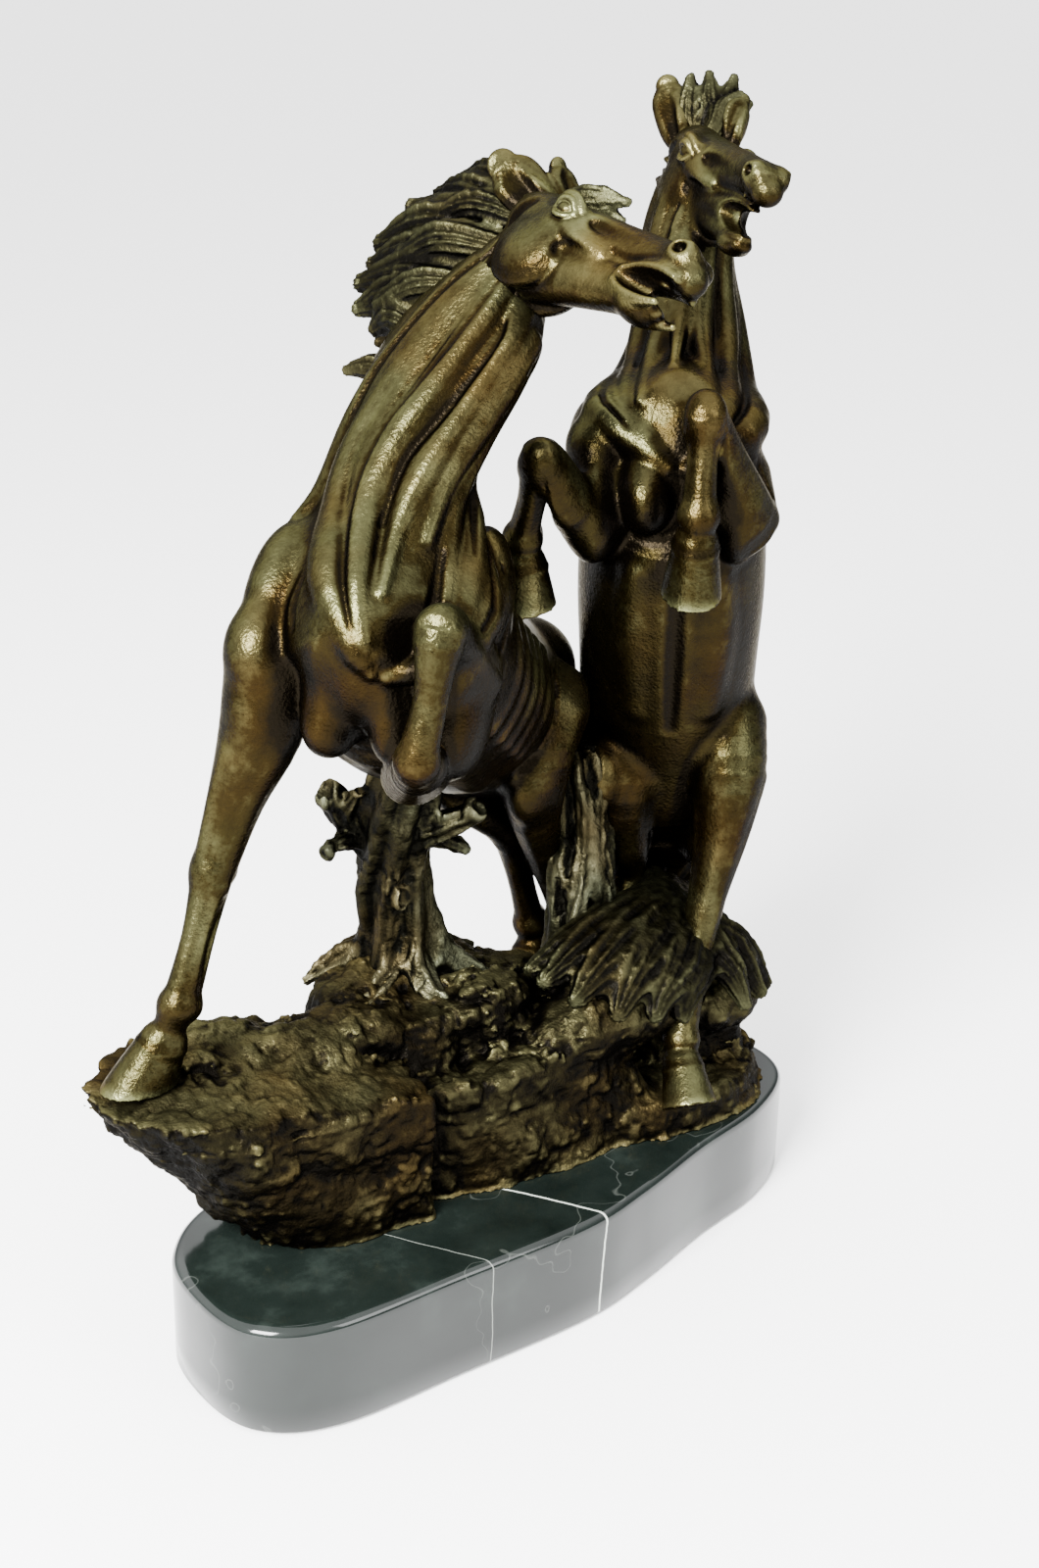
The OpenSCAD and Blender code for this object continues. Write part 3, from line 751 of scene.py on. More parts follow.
def sculpt_trunk(clay, horse):
    f = Frame(horse["at"], trunk_axes(horse))
    clay.strand([f.at(a, 0, u) for a, u, _, _ in TRUNK], [w * HEAD for _, _, w, _ in TRUNK], 8, BODY,
                depth=[d * HEAD for _, _, _, d in TRUNK], along=f.axes[2])
    trunk = Carver(clay, f, BODY)
    for side, out in zip((-1, 1), horse["shoulders"]):
        half = trunk.on_side(side)
        for place, sizes in MASSES:
            half.egg(place, sizes, 4)
        for (a, b, c), sizes in SHOULDER:
            half.egg((a, out + b, c), sizes, 4)


def lay_on_trunk(half, line):
    """Lays one cord or groove on the finished skin, along ways out of the middle of the trunk."""
    places, radii, soft, sink, cut = line
    inside = [half.frame.at(0.55 if a > 0.85 else a, 0.3 * b, 0.3 * c) for a, b, c in places]
    ways = [(i, i + 2.2 * (half.frame.at(*p) - i)) for i, p in zip(inside, places)]
    lay(half.clay, ways, radii, soft, BODY, sink, cut)


def sculpt_trunk_lines(clay, horse):
    trunk = Carver(clay, Frame(horse["at"], trunk_axes(horse)), BODY)
    lay_on_trunk(trunk, MIDLINE)
    for side in (-1, 1):
        half = trunk.on_side(side)
        # hollow under the breast, with a soft fold inside the foreleg
        half.egg((1.36, 0.15, -0.58), (0.34, 0.20, 0.32), 8, cut=True)
        half.egg((0.92, 0.16, -0.36), (0.12, 0.08, 0.16), 10)
        for line in FRONT_LINES + rib_lines(horse["ribs"]) + FLANK_LINES:
            lay_on_trunk(half, line)


FORE_RADII = [17, 15, 10.5, 8.0, 5.2, 6.4, 5.8]
HIND_RADII = [21, 17, 11, 8.2, 5.6, 6.6, 6.0]


def sculpt_leg(clay, leg, owner):
    """A leg through seven joints: two in the body, forearm, knee, shin, fetlock and coronet."""
    hind = leg.get("hind", False)
    j = np.array(leg["joints"], float)
    radii = HIND_RADII if hind else FORE_RADII
    radii = radii[:3] + [r * leg.get("thick", 1) for r in radii[3:]]
    shin = unit(j[5] - j[3])
    front = unit(leg["front"])
    front = unit(front - (front @ shin) * shin)
    across = np.cross(front, shin)
    axes = [front, across, shin]
    clay.strand(j, [r * 0.88 for r in radii], 4, owner, depth=radii, along=front)
    if hind:
        # point of the hock, and the cord above it
        cord = [j[2] - front * 7, j[3] - front * 8 - shin * 8, j[3] - front * 4 + shin * 8]
        clay.strand(cord, [3.4, 4.2, 3], 3, owner)
        clay.egg(j[3], (7.5, 6.6, 10), axes, 2.5, owner)
    else:
        clay.egg(j[3] + front * 1.5, (7.2, 7.4, 9.5), axes, 2.2, owner)
        clay.egg(j[3] - front * 5.5, (4.0, 3.6, 4.6), axes, 2, owner)
        for s in (-1, 1):
            clay.egg(j[3] + across * s * 4.5 + shin * 5, (4.4, 3.2, 3.4), axes, 1.6, owner)
    # sharp front edge of the forearm and the muscle cords beside it
    edge = [j[1] + front * radii[1] * 0.7, j[2] + front * radii[2] * 0.86, j[3] + front * radii[3] * 0.72]
    clay.strand(edge, [2.6, 2.2, 1.6], 2.6, owner)
    for s in (-1, 1):
        cord = [j[k] + across * s * radii[k] * share for k, share in ((1, 0.6), (2, 0.66), (3, 0.4))]
        clay.strand(cord, [5.0, 3.4, 1.8], 2.4, owner)
    # tendons behind and beside the shin, and the swell of the fetlock with its ergot
    tendon = [j[3] - front * 5 + shin * 6, j[4] - front * 5.6, j[5] - front * 5 - shin * 4]
    clay.strand(tendon, [3.2, 2.5, 3.2], 1.4, owner)
    for s in (1, -1):
        tendon = [j[3] + shin * 4 + across * s * 4, j[4] + across * s * 3.6, j[5] + across * s * 3.4]
        clay.strand(tendon, [2.6, 1.7, 2.4], 1.4, owner)
    clay.egg(j[5], (7.4, 7.6, 6.8), axes, 2.4, owner)
    clay.egg(j[5] - front * 5, (4.4, 5.4, 5.4), axes, 2, owner)
    sculpt_hoof(clay, j[6], np.array(leg["sole"], float), front, leg.get("ground"), owner)


def sculpt_hoof(clay, coronet, sole, front, ground, owner):
    """Wall flared from the coronet to the sole, which lies flat on the ground if there is any."""
    down = unit(sole - coronet)
    toe = unit(front - (front @ down) * down)
    clay.strand([coronet + down * 1, sole + toe * 2.5, sole + toe * 4 + down * 8], [8.2, 11.0, 11.8], 1.6,
                owner, depth=[9.2, 13.0, 14.0], along=toe, steps=2, flat=(sole, ground or down))
    clay.egg(coronet + down * 1.5, (9.6, 8.8, 3.0), [toe, np.cross(toe, down), down], 1.2, owner)


def horse_clay(horse):
    points = [horse["poll"], horse["muzzle"], *horse["crest"], *horse["throat"]]
    for leg in horse["legs"].values():
        points += [*leg["joints"], leg["sole"]]
    f = Frame(horse["at"], trunk_axes(horse))
    points += [f.at(a, s * 0.5, u + v * d) for a, u, _, d in TRUNK for s in (-1, 1) for v in (-1, 1)]
    clay = Clay(np.min(points, 0) - 26, np.max(points, 0) + 26, CELL)
    sculpt_trunk(clay, horse)
    sculpt_neck(clay, horse)
    clay.soften(2)
    sculpt_trunk_lines(clay, horse)
    sculpt_neck_muscles(clay, horse)
    for i, leg in enumerate(("foreleg_right", "foreleg_left", "hindleg_right", "hindleg_left")):
        sculpt_leg(clay, horse["legs"][leg], FORE_R + i)
    return clay


def head_clay(horse):
    poll, muzzle = np.array(horse["poll"], float), np.array(horse["muzzle"], float)
    low, high = np.minimum(poll, muzzle) - (42, 42, 62), np.maximum(poll, muzzle) + 36
    clay = Clay(low, high, HEAD_CELL)
    sculpt_neck(clay, horse)
    sculpt_neck_muscles(clay, horse)
    sculpt_head(clay, horse)
    return clay


def make_horse(horse, bronze):
    """The body and legs from one clay and the head from a finer one, parted across the upper neck."""
    name = horse["name"]
    neck = Neck(horse)
    seam = neck.middle[3] * 0.75 + neck.middle[4] * 0.25
    ahead = unit(neck.middle[4] - neck.middle[3])
    overlap = 0.6
    head_reach = 40
    points, quads, owner, normals, tones = toned_skin(horse_clay(horse))
    middle = points[quads[:, 0]]
    past = (middle - seam) @ ahead
    near_head = np.linalg.norm(middle - seam, axis=1) < head_reach
    for i, part in enumerate(PARTS):
        if part == "head":
            continue
        keep = (owner == i) & ~((past > overlap) & near_head)
        piece = mesh_piece(f"{name}_{part}_bronze", points, quads[keep], normals, tones)
        dress(piece, f"{name}_{part}", bronze)
    points, quads, owner, normals, tones = toned_skin(head_clay(horse))
    keep = (points[quads[:, 0]] - seam) @ ahead > -overlap
    piece = mesh_piece(f"{name}_head_bronze", points, quads[keep], normals, tones)
    dress(piece, f"{name}_head", bronze)


# ---------------------------------------------------------------------------
# Hair
# ---------------------------------------------------------------------------
TOWARDS_FRONT = (-0.59, -0.80, 0.10)
# Locks: places from the root to the tip, then the half width of the lock
LEAPING_MANE = [
    ([(10, 10, 408), (8, 34, 417), (8, 54, 415)], 7), ([(6, 20, 404), (2, 40, 411), (0, 58, 409)], 8),
    ([(4, 26, 400), (-2, 46, 404), (-8, 64, 405)], 7), ([(0, 28, 396), (-8, 50, 400), (-16, 71, 392)], 9),
    ([(-6, 30, 390), (-14, 52, 391), (-20, 70, 385)], 8),
    ([(-10, 32, 384), (-17, 50, 384), (-25, 70, 379)], 9),
    ([(-14, 36, 376), (-21, 52, 377), (-28, 67, 371)], 8),
    ([(-20, 38, 366), (-24, 50, 370), (-27, 59, 365)], 7),
    ([(-28, 42, 348), (-32, 52, 353), (-37, 62, 351)], 5),
    ([(-34, 42, 330), (-38, 50, 335), (-42, 56, 331)], 4),
    ([(5, 14, 405), (-3, 34, 408), (-9, 50, 399)], 6), ([(-3, 20, 396), (-13, 38, 397), (-19, 54, 388)], 7),
    ([(-12, 28, 384), (-20, 42, 382), (-27, 56, 374)], 6),
    ([(14, 18, 404), (16, 40, 408), (12, 60, 400)], 7), ([(4, 34, 390), (4, 54, 390), (-4, 72, 382)], 7),
    ([(-12, 42, 366), (-10, 58, 366), (-18, 70, 358)], 6),
    ([(10, 4, 411), (15, -8, 415), (21, -19, 414)], 4), ([(9, 2, 410), (15, -9, 411), (20, -18, 408)], 3.5),
]
REARING_MANE = [
    ([(131, 79, 420), (134, 85, 434), (136, 88, 443)], 4.5),
    ([(134, 76, 420), (139, 80, 436), (142, 84, 444)], 4.5),
    ([(136, 73, 422), (144, 76, 435), (149, 77, 443)], 4.5),
    ([(136, 70, 420), (146, 72, 430), (152, 71, 434)], 4),
    ([(133, 70, 424), (140, 72, 432), (146, 70, 438)], 4),
    ([(130, 84, 412), (142, 92, 412), (150, 98, 402)], 8),
    ([(130, 84, 396), (142, 92, 388), (150, 94, 374)], 8),
    ([(130, 80, 372), (142, 85, 362), (150, 82, 346)], 7),
    ([(130, 86, 404), (138, 98, 400), (146, 100, 388)], 7),
    ([(130, 82, 384), (140, 92, 376), (146, 92, 360)], 7),
    ([(128, 74, 358), (140, 76, 348), (146, 70, 336)], 6),
    ([(126, 68, 346), (138, 60, 337), (142, 47, 327)], 4.5),
]
LEAPING_TAIL = [
    ([(60, 94, 200), (78, 112, 208), (86, 120, 184), (82, 118, 150), (80, 106, 118)], 10),
    ([(60, 94, 198), (76, 114, 204), (80, 124, 180), (74, 120, 150), (70, 108, 124)], 9),
    ([(62, 92, 198), (82, 106, 204), (92, 114, 182), (90, 110, 150), (90, 98, 126)], 9),
    ([(60, 94, 196), (74, 110, 200), (80, 114, 178), (78, 110, 146), (84, 96, 116)], 8),
]
REARING_TAIL = [
    ([(130, 74, 160), (146, 80, 146), (140, 68, 118), (116, 46, 116), (94, 34, 120)], 11),
    ([(130, 76, 158), (142, 84, 142), (134, 74, 116), (112, 54, 114), (94, 42, 120)], 9),
    ([(96, 34, 120), (78, 17, 118), (60, 9, 114), (42, 5, 109)], 15),
    ([(98, 34, 118), (89, 13, 115), (79, 3, 109), (70, -4, 101)], 14),
    ([(96, 52, 126), (90, 30, 128), (68, 26, 127), (42, 23, 123), (20, 22, 117)], 8),
    ([(96, 50, 124), (89, 28, 126), (67, 22, 126), (42, 17, 122), (22, 14, 115)], 9),
    ([(95, 46, 122), (89, 26, 124), (68, 17, 124), (46, 9, 119), (28, 3, 110)], 9),
    ([(95, 42, 120), (89, 24, 122), (73, 13, 121), (56, 2, 115), (42, -6, 104)], 9),
    ([(95, 40, 118), (90, 22, 120), (80, 9, 118), (68, -3, 111), (58, -9, 100)], 9),
    ([(95, 38, 116), (91, 21, 117), (87, 7, 114), (79, -5, 107), (71, -11, 96)], 7),
    ([(100, 38, 122), (97, 18, 118), (98, 6, 113), (100, -4, 106), (104, -11, 92)], 7),
    ([(104, 36, 120), (102, 12, 116), (109, 4, 107), (119, -3, 90)], 8),
    ([(106, 36, 118), (106, 14, 115), (116, 8, 105), (128, 4, 88)], 8),
]


HAIR = [  # node, its locks, the seed of their furrows, and how far they melt into each other
    ("leaping_mane", LEAPING_MANE, 5, 2.6), ("rearing_mane", REARING_MANE, 6, 2.4),
    ("leaping_tail", LEAPING_TAIL, 7, 3), ("rearing_tail", REARING_TAIL, 8, 6.5),
]


def sculpt_hair(locks, seed, melt):
    """Flame-shaped locks laid over each other, each with combed furrows."""
    places = np.array([p for points, _ in locks for p in points], float)
    clay = Clay(places.min(0) - 14, places.max(0) + 14, 0.6)
    chance = np.random.default_rng(seed)
    flat = 0.55
    for points, width in locks:
        shares = np.interp(np.linspace(0, 1, len(points)), [0, 0.5, 0.8, 1], [0.8, 1.0, 0.92, 0.42])
        clay.strand(points, width * shares, melt, depth=width * flat * shares, along=TOWARDS_FRONT,
                    steps=6, flutes=10, ripple=0.10, twist=chance.uniform(0.10, 0.22))
    clay.roughen(0.35, 2.6, seed)
    return clay


# ---------------------------------------------------------------------------
# Rock, stump and trunk
# ---------------------------------------------------------------------------
MARBLE_TOP = 45.0
ROCK_BLOCKS = [  # outline on the marble, outline on top, height of the top or of each of its corners
    ([(-104, 20), (-98, 5), (-77, -9), (-48, -11), (-38, 8), (-40, 46), (-96, 44)],
     [(-164, 48), (-168, 22), (-148, -1), (-124, -9), (-90, -11), (-49, -13), (-42, 8), (-48, 46),
      (-90, 66), (-140, 62)],
     [112, 113, 113, 111, 106, 99, 99, 106, 111, 112]),
    ([(-42, 2), (-13, -8), (8, -11), (46, -12), (66, -6), (66, 40), (-44, 44)],
     [(-46, 6), (-22, -4), (8, 2), (30, -2), (50, 0), (58, 14), (50, 42), (-46, 42)], 92),
    ([(-90, 20), (-40, 4), (10, 4), (50, 10), (64, 46), (20, 54), (-50, 54), (-90, 48)],
     [(-62, 34), (-40, 20), (0, 22), (34, 26), (40, 48), (4, 76), (-44, 78)], 114),
    ([(44, -10), (72, -17), (95, -17), (118, -9), (134, 8), (138, 28), (122, 46), (60, 50)],
     [(48, -6), (74, -15), (96, -14), (118, -4), (134, 14), (124, 40), (60, 48)], 60),
    ([(84, 6), (120, -2), (136, 16), (124, 42), (70, 50)],
     [(92, 16), (116, 8), (124, 20), (114, 36), (74, 46)], 84),
]


def hull_planes(points):
    """Outward normals and places of the faces of the hull round some points."""
    hull = bmesh.new()
    for p in points:
        hull.verts.new(p)
    bmesh.ops.convex_hull(hull, input=hull.verts)
    hull.normal_update()
    middle = np.mean(points, axis=0)
    planes = []
    for face in hull.faces:
        normal, place = np.array(face.normal), np.array(face.verts[0].co)
        planes.append((normal if normal @ (place - middle) > 0 else -normal, place))
    hull.free()
    return planes


ROCK_MOUNDS = [  # places and half sizes: under the tail, at the foot of the stump and along the ledge
    ((50, 10, 96), (40, 20, 16)), ((-18, 58, 108), (36, 24, 12)), ((104, 10, 84), (22, 16, 14)),
    ((-112, 46, 110), (30, 16, 8)), ((-62, 34, 108), (26, 20, 12)), ((0, 26, 106), (24, 16, 10)),
]
ROCK_RELIEF = [  # amount, size, seed and whether it leaves sharp valleys
    (2.6, 30, 1, True), (1.7, 12, 2, True), (1.0, 5.5, 3, True), (0.55, 2.8, 4, True),
    (0.25, 1.6, 5, False),
]


def sculpt_rock():
    """Blocks with blunted edges, mounds on them, and relief from crags down to grain."""
    clay = Clay((-178, -26, MARBLE_TOP - 5), (150, 90, 134), 0.75)
    x, y, z = (clay.low[i] + clay.cell * np.arange(clay.size[i], dtype=np.float32) for i in range(3))
    x, y, z = np.meshgrid(x, y, z, indexing="ij", sparse=True)
    everywhere = (slice(None),) * 3
    sharpness = 0.8
    for low, top, height in ROCK_BLOCKS:
        rim = [(*p, h) for p, h in zip(top, np.broadcast_to(height, len(top)))]
        planes = hull_planes([(*p, MARBLE_TOP - 6) for p in low] + rim)
        total = 0
        for normal, place in planes:
            away = (x - place[0]) * normal[0] + (y - place[1]) * normal[1] + (z - place[2]) * normal[2]
            total = total + np.exp(np.clip(away, -30, 30) * sharpness)
        clay.add(everywhere, (np.log(total) / sharpness - 2.2).astype(np.float32), 4)
    for place, size in ROCK_MOUNDS:
        clay.egg(place, size, soft=8)
    for amount, size, seed, creased in ROCK_RELIEF:
        clay.roughen(amount, size, seed, creased, where=calm_places)
    # the thin lip where the casting sits on the marble
    clay.field -= 0.7 * np.exp(-((z - MARBLE_TOP) / 1.4) ** 2)
    clay.field = np.maximum(clay.field, MARBLE_TOP - z)
    return clay


def calm_places(places):
    """Less relief on the trodden plateau beside the planted hoof and on the faces below it."""
    x, y, z = places.T
    plateau = np.exp(-(((x + 100) / 34) ** 2 + ((y - 14) / 22) ** 2)) * (z > 100)
    face = (y < 6) * (z < 98) * 0.30
    return 1 - np.clip(0.45 * plateau + face, 0, 0.8)


def sculpt_stump():
    """A fluted stem on spread roots, broken branches with hollow ends, a knot hole and bark."""
    clay = Clay((-70, 8, 96), (36, 96, 214), 0.7)
    stem = [(-12, 62, 100), (-14, 62, 118), (-17, 61, 138), (-21, 58, 162), (-24, 50, 188), (-26, 42, 206)]
    clay.strand(stem, [26, 20, 15.5, 14, 14.5, 13], 3, flutes=7, ripple=0.10, twist=0.22, steps=5)
    roots = [[(-16, 58, 126), (-30, 48, 114), (-48, 40, 108)],
             [(-18, 66, 124), (-34, 76, 114), (-46, 82, 106)],
             [(-8, 62, 122), (8, 68, 113), (24, 70, 107)], [(-10, 56, 120), (4, 44, 113), (14, 36, 107)],
             [(-14, 54, 122), (-18, 38, 113), (-14, 28, 108)]]
    for root in roots:
        clay.strand(root, [7, 6, 3], 4, flutes=5, ripple=0.15, twist=0.3)
    branches = [([(-20, 60, 158), (-34, 66, 176), (-43, 67, 189)], [8, 6.5, 5.5]),
                ([(-30, 64, 170), (-42, 62, 172), (-50, 60, 170)], [5, 4, 2.6]),
                ([(-22, 54, 172), (-12, 38, 180), (-4, 29, 188)], [8, 6, 4.5]),
                ([(-16, 46, 176), (-6, 44, 170), (2, 42, 166)], [5, 4, 2.5]),
                ([(-36, 66, 180), (-38, 58, 190), (-40, 52, 196)], [4.5, 4, 2.5])]
    for points, radii in branches:
        clay.strand(points, radii, 2.5, flutes=6, ripple=0.14, twist=0.4)
        tip = np.array(points[-1], float)
        clay.egg(tip, (radii[-1] * 1.25,) * 3, soft=1.5)
        clay.egg(tip + unit(tip - points[-2]) * radii[-1], (radii[-1] * 0.7,) * 3, soft=0.8, cut=True)
    clay.egg((-24, 47, 150), (5, 4, 6), soft=2)
    clay.egg((-25, 44, 150), (2.6, 3, 3.6), soft=1, cut=True)
    clay.roughen(1.2, 7, 11, True, stretch=(1, 1, 3.5))
    clay.roughen(0.5, 3.0, 12, True, stretch=(1, 1, 2.5))
    return clay


def sculpt_back_trunk():
    """A stem with three ropes of bark wound beside it."""
    clay = Clay((22, 6, 96), (94, 82, 196), 0.8)
    stem = [(56, 36, 98), (57, 38, 118), (58, 40, 138), (60, 44, 160), (58, 46, 186)]
    clay.strand(stem, [18, 14, 13, 12.5, 12], 3, flutes=8, ripple=0.14, twist=-0.3, steps=5)
    for points in ([(50, 30, 104), (48, 30, 130), (52, 32, 156), (54, 36, 180)],
                   [(62, 28, 104), (62, 28, 128), (58, 30, 150), (62, 36, 178)],
                   [(44, 40, 100), (46, 42, 126), (48, 44, 150)]):
        clay.strand(points, [6, 4.5, 4, 3.5][:len(points)], 2.5, flutes=5, ripple=0.15, twist=0.5)
    clay.roughen(1.4, 7, 21, True, stretch=(1, 1, 3))
    clay.roughen(0.6, 3, 22, True, stretch=(1, 1, 2))
    return clay


PLINTH_HALF = (145.0, 53.0)
EDGE_R = 4.0
PLINTH_SHAPE = [  # shares of half the length and half the depth
    (-0.99, -0.10), (-0.94, -0.60), (-0.76, -0.86), (-0.40, -0.87), (0.00, -0.86), (0.24, -0.72),
    (0.50, -0.50), (0.76, -0.32), (0.95, 0.00), (1.00, 0.45), (0.93, 0.92), (0.70, 1.10), (0.35, 1.10),
    (0.00, 1.02), (-0.40, 0.98), (-0.76, 0.92), (-0.95, 0.50),
]


def make_plinth():
    """The slab with its rolled top edge, from rings round the outline."""
    shape = np.array(PLINTH_SHAPE)
    steps = 12
    loop = flow(np.vstack([shape[-2:], shape, shape[:3]]), steps)[2 * steps:(2 + len(shape)) * steps]
    # how far each ring is set in from the outline, and its height
    rings = [(EDGE_R, 1.6), (0.4, 1.6), (0.0, 2.2), (0.0, 12.0), (0.0, 26.0), (0.0, MARBLE_TOP - EDGE_R)]
    for t in np.linspace(0.1, 1, 10) * math.pi / 2:
        rings.append((EDGE_R * (1 - math.cos(t)), MARBLE_TOP - EDGE_R + EDGE_R * math.sin(t)))
    rings += [(4.3, MARBLE_TOP), (30.0, MARBLE_TOP)]
    points = np.array([[x * (PLINTH_HALF[0] - inset), y * (PLINTH_HALF[1] - inset), z]
                       for inset, z in rings for x, y in loop]) * MM
    n = len(loop)
    faces = [(r * n + i, r * n + (i + 1) % n, (r + 1) * n + (i + 1) % n, (r + 1) * n + i)
             for r in range(len(rings) - 1) for i in range(n)]
    faces += [tuple(reversed(range(n))), tuple(range((len(rings) - 1) * n, len(rings) * n))]
    mesh = bpy.data.meshes.new("marble_plinth_slab")
    mesh.from_pydata(points.tolist(), [], faces)
    mesh.polygons.foreach_set("use_smooth", np.ones(len(faces), bool))
    slab = bpy.data.objects.new("marble_plinth_slab", mesh)
    bpy.context.collection.objects.link(slab)
    return slab


# ---------------------------------------------------------------------------
# Materials: formulas of shader values
# ---------------------------------------------------------------------------
class Value:
    """A value in a shader's tree, which formulas can add, subtract, multiply and divide."""
    def __init__(self, tree, socket):
        self.tree, self.socket = tree, socket

    def join(self, operation, *values):
        node = self.tree.nodes.new("ShaderNodeMath")
        node.operation = operation
        for socket, value in zip(node.inputs, values):
            self.tree.fill(socket, value)
        return Value(self.tree, node.outputs[0])

    def __add__(self, other):
        return self.join("ADD", self, other)

    def __sub__(self, other):
        return self.join("SUBTRACT", self, other)

    def __rsub__(self, other):
        return self.join("SUBTRACT", other, self)

    def __mul__(self, other):
        return self.join("MULTIPLY", self, other)

    def __truediv__(self, other):
        return self.join("DIVIDE", self, other)

    def absolute(self):
        return self.join("ABSOLUTE", self)

    def at_least(self, other):
        return self.join("MAXIMUM", self, other)

    def at_most(self, other):
        return self.join("MINIMUM", self, other)


class Tree:
    """Short ways to build the node tree of a material or of the world."""
    def __init__(self, owner):
        owner.use_nodes = True
        self.nodes, self.links = owner.node_tree.nodes, owner.node_tree.links

    def fill(self, socket, value):
        """Links a value to a socket, or writes a plain number or colour into it."""
        if isinstance(value, Value):
            self.links.new(value.socket, socket)
        else:
            socket.default_value = value

    def put(self, node, **inputs):
        for name, value in inputs.items():
            self.fill(node.inputs[name.replace("_", " ")], value)
        return node

    def node(self, kind, output=0, **inputs):
        return Value(self, self.put(self.nodes.new(kind), **inputs).outputs[output])

    def parts(self, kind, output):
        """The X, Y and Z of a vector that a node gives out."""
        split = self.put(self.nodes.new("ShaderNodeSeparateXYZ"), Vector=self.node(kind, output))
        return [Value(self, socket) for socket in split.outputs]

    def tone(self, name):
        """A tone that the mesh carries on its vertices."""
        node = self.nodes.new("ShaderNodeAttribute")
        node.attribute_name = name
        return Value(self, node.outputs["Fac"])

    def noise(self, scale, detail=4.0, rough=0.6):
        place = self.node("ShaderNodeTexCoord", "Object")
        return self.node("ShaderNodeTexNoise", "Fac", Vector=place, Scale=scale, Detail=detail,
                         Roughness=rough)

    def ramp(self, factor, *stops):
        """Colours at places from 0 to 1."""
        node = self.nodes.new("ShaderNodeValToRGB")
        self.fill(node.inputs[0], factor)
        bands = node.color_ramp.elements
        while len(bands) < len(stops):
            bands.new(0.5)
        for band, (place, colour) in zip(bands, stops):
            band.position = place
            band.color = (*colour, 1)
        return Value(self, node.outputs[0])

    def blend(self, share, first, second):
        """The first colour where the share is 0 and the second where it is 1."""
        node = self.nodes.new("ShaderNodeMix")
        node.data_type = "RGBA"
        for index, value in ((0, share), (6, first), (7, second)):
            self.fill(node.inputs[index], value)
        return Value(self, node.outputs[2])

    def bump(self, height, strength, distance):
        return self.node("ShaderNodeBump", Height=height, Strength=strength, Distance=distance)


def bronze_material(name, deep, mid, rubbed_and_lit, bump=0.25, shine=0.36, lit=0.28):
    """Brown patina, darker in the folds as patina and painted shade, worn to greenish gold on whatever
    stands out with painted highlight, and lighter on faces turned up as painted light from above.
    """
    material = bpy.data.materials.new(name)
    tree = Tree(material)
    cloud = tree.noise(45.0, 5.0, 0.65)
    fine = tree.noise(420.0, 3.0, 0.7)
    upward = tree.parts("ShaderNodeNewGeometry", "Normal")[2]
    # Painted light and shade: the tone sinks in folds (patina plus painted shade) and rises on sharp edges
    # (wear plus painted highlight) and on faces turned up (painted light from above)
    tone = tree.tone("ridge") * 0.8 - tree.tone("hollow") * 1.7 + 0.38 + upward * lit
    tone = tone + (cloud - 0.5) * 0.75 + (fine - 0.5) * 0.25
    # The brightest colour is worn metal on edges, and also painted highlight and painted light on faces
    # turned up
    half = tuple(0.6 * a + 0.4 * b for a, b in zip(mid, rubbed_and_lit))
    olive = [mid, half, rubbed_and_lit]
    brown = [(red, green * 0.76, blue * 0.60) for red, green, blue in olive]
    olive, brown = (tree.ramp(tone, (0.05, deep), *zip((0.34, 0.64, 0.96), row)) for row in (olive, brown))
    patches = tree.ramp(tree.noise(16.0, 3.0, 0.55), (0.44, (0, 0, 0)), (0.62, (1, 1, 1)))
    relief = tree.noise(900.0, 2.0, 0.5) + tree.noise(160.0, 4.0, 0.6) * 0.9
    tree.put(tree.nodes["Principled BSDF"], Base_Color=tree.blend(patches, olive, brown), Metallic=0.9,
             Specular_Tint=(0.30, 0.27, 0.20, 1), Roughness=fine * 0.22 + (shine - 0.11),
             Normal=tree.bump(relief, bump, 0.0012))
    return material


def plain_material(name, colour, metallic, rough):
    """Steel or felt: one colour with a fine grain."""
    material = bpy.data.materials.new(name)
    tree = Tree(material)
    fine = tree.noise(800.0, 3.0)
    grain = tree.ramp(fine, (0.2, tuple(0.7 * c for c in colour)), (0.8, colour))
    tree.put(tree.nodes["Principled BSDF"], Base_Color=grain, Metallic=metallic,
             Roughness=fine * 0.1 + (rough - 0.05), Normal=tree.bump(fine, 0.3, 0.0005))
    return material


# The two straight veins: where they cross X, how they slope with Y and lean with Z, then half widths
FINE_VEIN = (-0.0740, 0.62, -0.02, 0.0003)
BOLD_VEIN = (-0.0230, 0.65, -0.085, 0.0007)


def marble_material():
    """Polished black-green marble with clouds, hair lines and two straight white veins through the slab."""
    material = bpy.data.materials.new("marble")
    tree = Tree(material)
    colour = tree.ramp(tree.noise(22.0, 8.0, 0.62), (0.30, (0.0015, 0.0025, 0.002)),
                       (0.55, (0.004, 0.006, 0.005)), (0.75, (0.014, 0.019, 0.016)))
    x, y, z = tree.parts("ShaderNodeTexCoord", "Object")
    wander = (tree.noise(28.0, 4.0) - 0.5) * 0.004

    def vein(place, slope, lean, wide):
        away = (x - place + y * slope + z * lean + wander).absolute()
        return 1.0 - away / wide

    veins = (vein(*FINE_VEIN) * 0.30).at_least(vein(*BOLD_VEIN))
    hair = (tree.noise(9.0, 4.0, 0.6) - 0.5).absolute()
    hair = (1.0 - hair / 0.002) * 0.04
    white = veins.at_least(hair).at_least(0.0).at_most(1.0)
    tree.put(tree.nodes["Principled BSDF"], Base_Color=tree.blend(white, colour, (0.50, 0.54, 0.48, 1)),
             Specular_IOR_Level=0.32, Roughness=tree.noise(120.0, 4.0) * 0.10 + 0.06)
    return material


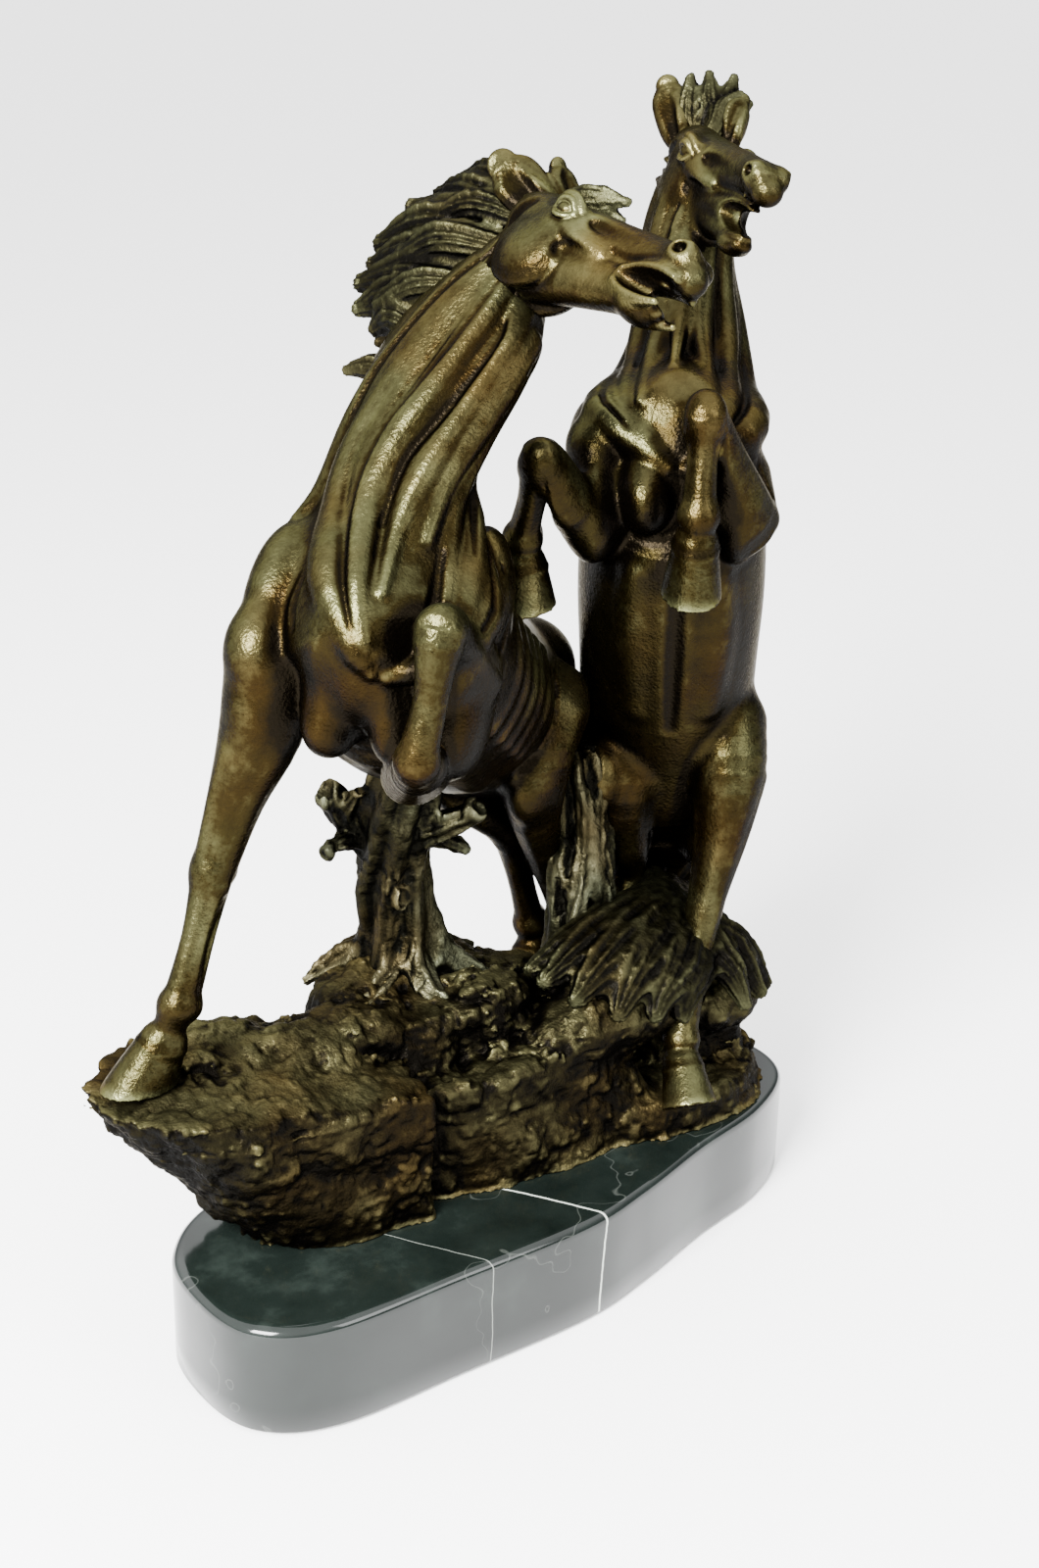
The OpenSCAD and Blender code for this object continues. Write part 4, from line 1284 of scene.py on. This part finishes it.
# ---------------------------------------------------------------------------
# Camera and light
# ---------------------------------------------------------------------------
def add_camera():
    turn, dip, roll = (math.radians(a) for a in (CAMERA_TURN, CAMERA_DIP, CAMERA_ROLL))
    away = np.array([math.sin(turn) * math.cos(dip), math.cos(turn) * math.cos(dip), -math.sin(dip)])
    level = np.array([math.cos(turn), -math.sin(turn), 0.0])
    above = np.cross(level, away)
    right = math.cos(roll) * level + math.sin(roll) * above
    up = -math.sin(roll) * level + math.cos(roll) * above
    rotation = Matrix([list(row) for row in np.column_stack([right, up, -away])]).to_4x4()
    data = bpy.data.cameras.new("camera")
    data.lens = LENS
    data.sensor_width = 36
    data.clip_start = 0.01
    camera = bpy.data.objects.new("camera", data)
    camera.matrix_world = Matrix.Translation(Vector(CAMERA_AT)) @ rotation
    bpy.context.collection.objects.link(camera)
    bpy.context.scene.camera = camera


def add_light(name, place, target, power, size):
    data = bpy.data.lights.new(name, "AREA")
    data.energy = power
    data.size = size
    light = bpy.data.objects.new(name, data)
    light.location = place
    light.rotation_euler = (Vector(target) - Vector(place)).to_track_quat("-Z", "Y").to_euler()
    bpy.context.collection.objects.link(light)


def add_stage():
    """A pale floor under a sky that is bright overhead, on the left and low on the right."""
    far = 20
    mesh = bpy.data.meshes.new("floor")
    mesh.from_pydata([(-far, -far, 0), (far, -far, 0), (far, far, 0), (-far, far, 0)], [], [(0, 1, 2, 3)])
    floor = bpy.data.objects.new("floor", mesh)
    bpy.context.collection.objects.link(floor)
    material = bpy.data.materials.new("floor")
    tree = Tree(material)
    tree.put(tree.nodes["Principled BSDF"], Base_Color=(0.9, 0.9, 0.9, 1), Roughness=0.7)
    mesh.materials.append(material)
    world = bpy.data.worlds.new("studio")
    tree = Tree(world)
    x, _, z = tree.parts("ShaderNodeTexCoord", "Generated")
    sky = tree.ramp(z + x * -0.30, (0.00, (0.10, 0.10, 0.11)), (0.22, (0.30, 0.30, 0.31)),
                    (0.55, (1.0, 1.0, 1.0)))
    tree.put(tree.nodes["Background"], Color=sky, Strength=4.0)
    bpy.context.scene.world = world


# ---------------------------------------------------------------------------
# The whole group
# ---------------------------------------------------------------------------
def make_bronzes():
    # Each bronze: its colour deep in folds (patina with painted shade), its middle colour, and its colour on
    # edges and faces turned up (wear with painted highlight and painted light from above); lit sets the
    # painted light from above
    skin = bronze_material("bronze_skin", (0.0026, 0.0018, 0.0009), (0.0095, 0.0070, 0.0017),
                           (0.088, 0.090, 0.040), shine=0.30)
    hair = bronze_material("bronze_hair", (0.0010, 0.0009, 0.0007), (0.0065, 0.0062, 0.0026),
                           (0.036, 0.037, 0.018), shine=0.42, lit=0.10)
    rock = bronze_material("bronze_rock", (0.0010, 0.0008, 0.0006), (0.0060, 0.0050, 0.0020),
                           (0.054, 0.050, 0.022), bump=0.4, shine=0.46, lit=0.46)
    bark = bronze_material("bronze_bark", (0.0012, 0.0012, 0.0008), (0.0120, 0.0122, 0.0062),
                           (0.070, 0.075, 0.046), bump=0.4, shine=0.42)
    for horse in (LEAPING, REARING):
        make_horse(horse, skin)
    for name, locks, seed, melt in HAIR:
        clay_piece(name + "_hair", sculpt_hair(locks, seed, melt), name, hair)
    clay_piece("rock_crag", sculpt_rock(), "rock_casting", rock)
    clay_piece("stump_bark", sculpt_stump(), "stump_casting", bark)
    clay_piece("back_trunk_bark", sculpt_back_trunk(), "back_trunk_casting", bark)


def paint_fixings():
    """New materials for the pieces that keep the CAD's own meshes."""
    steel = plain_material("fixing_steel", (0.55, 0.55, 0.56), 1.0, 0.3)
    felt = plain_material("felt_green", (0.02, 0.06, 0.03), 0.0, 0.95)
    paints = {"base_studs": steel, "base_washers": steel, "base_nuts": steel, "felt_pad": felt}
    for piece in bpy.data.objects:
        paint = paints.get(piece.name.split(".")[0])
        if piece.type == "MESH" and paint:
            piece.data.materials.clear()
            piece.data.materials.append(paint)


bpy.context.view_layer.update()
make_bronzes()
dress(make_plinth(), "marble_plinth", marble_material())
paint_fixings()
add_camera()
add_stage()
add_light("key", (-1.3, -0.6, 1.1), (0, 0, 0.25), 260, 0.7)
add_light("fill", (0.5, -1.5, 0.9), (0, 0, 0.25), 26, 0.8)
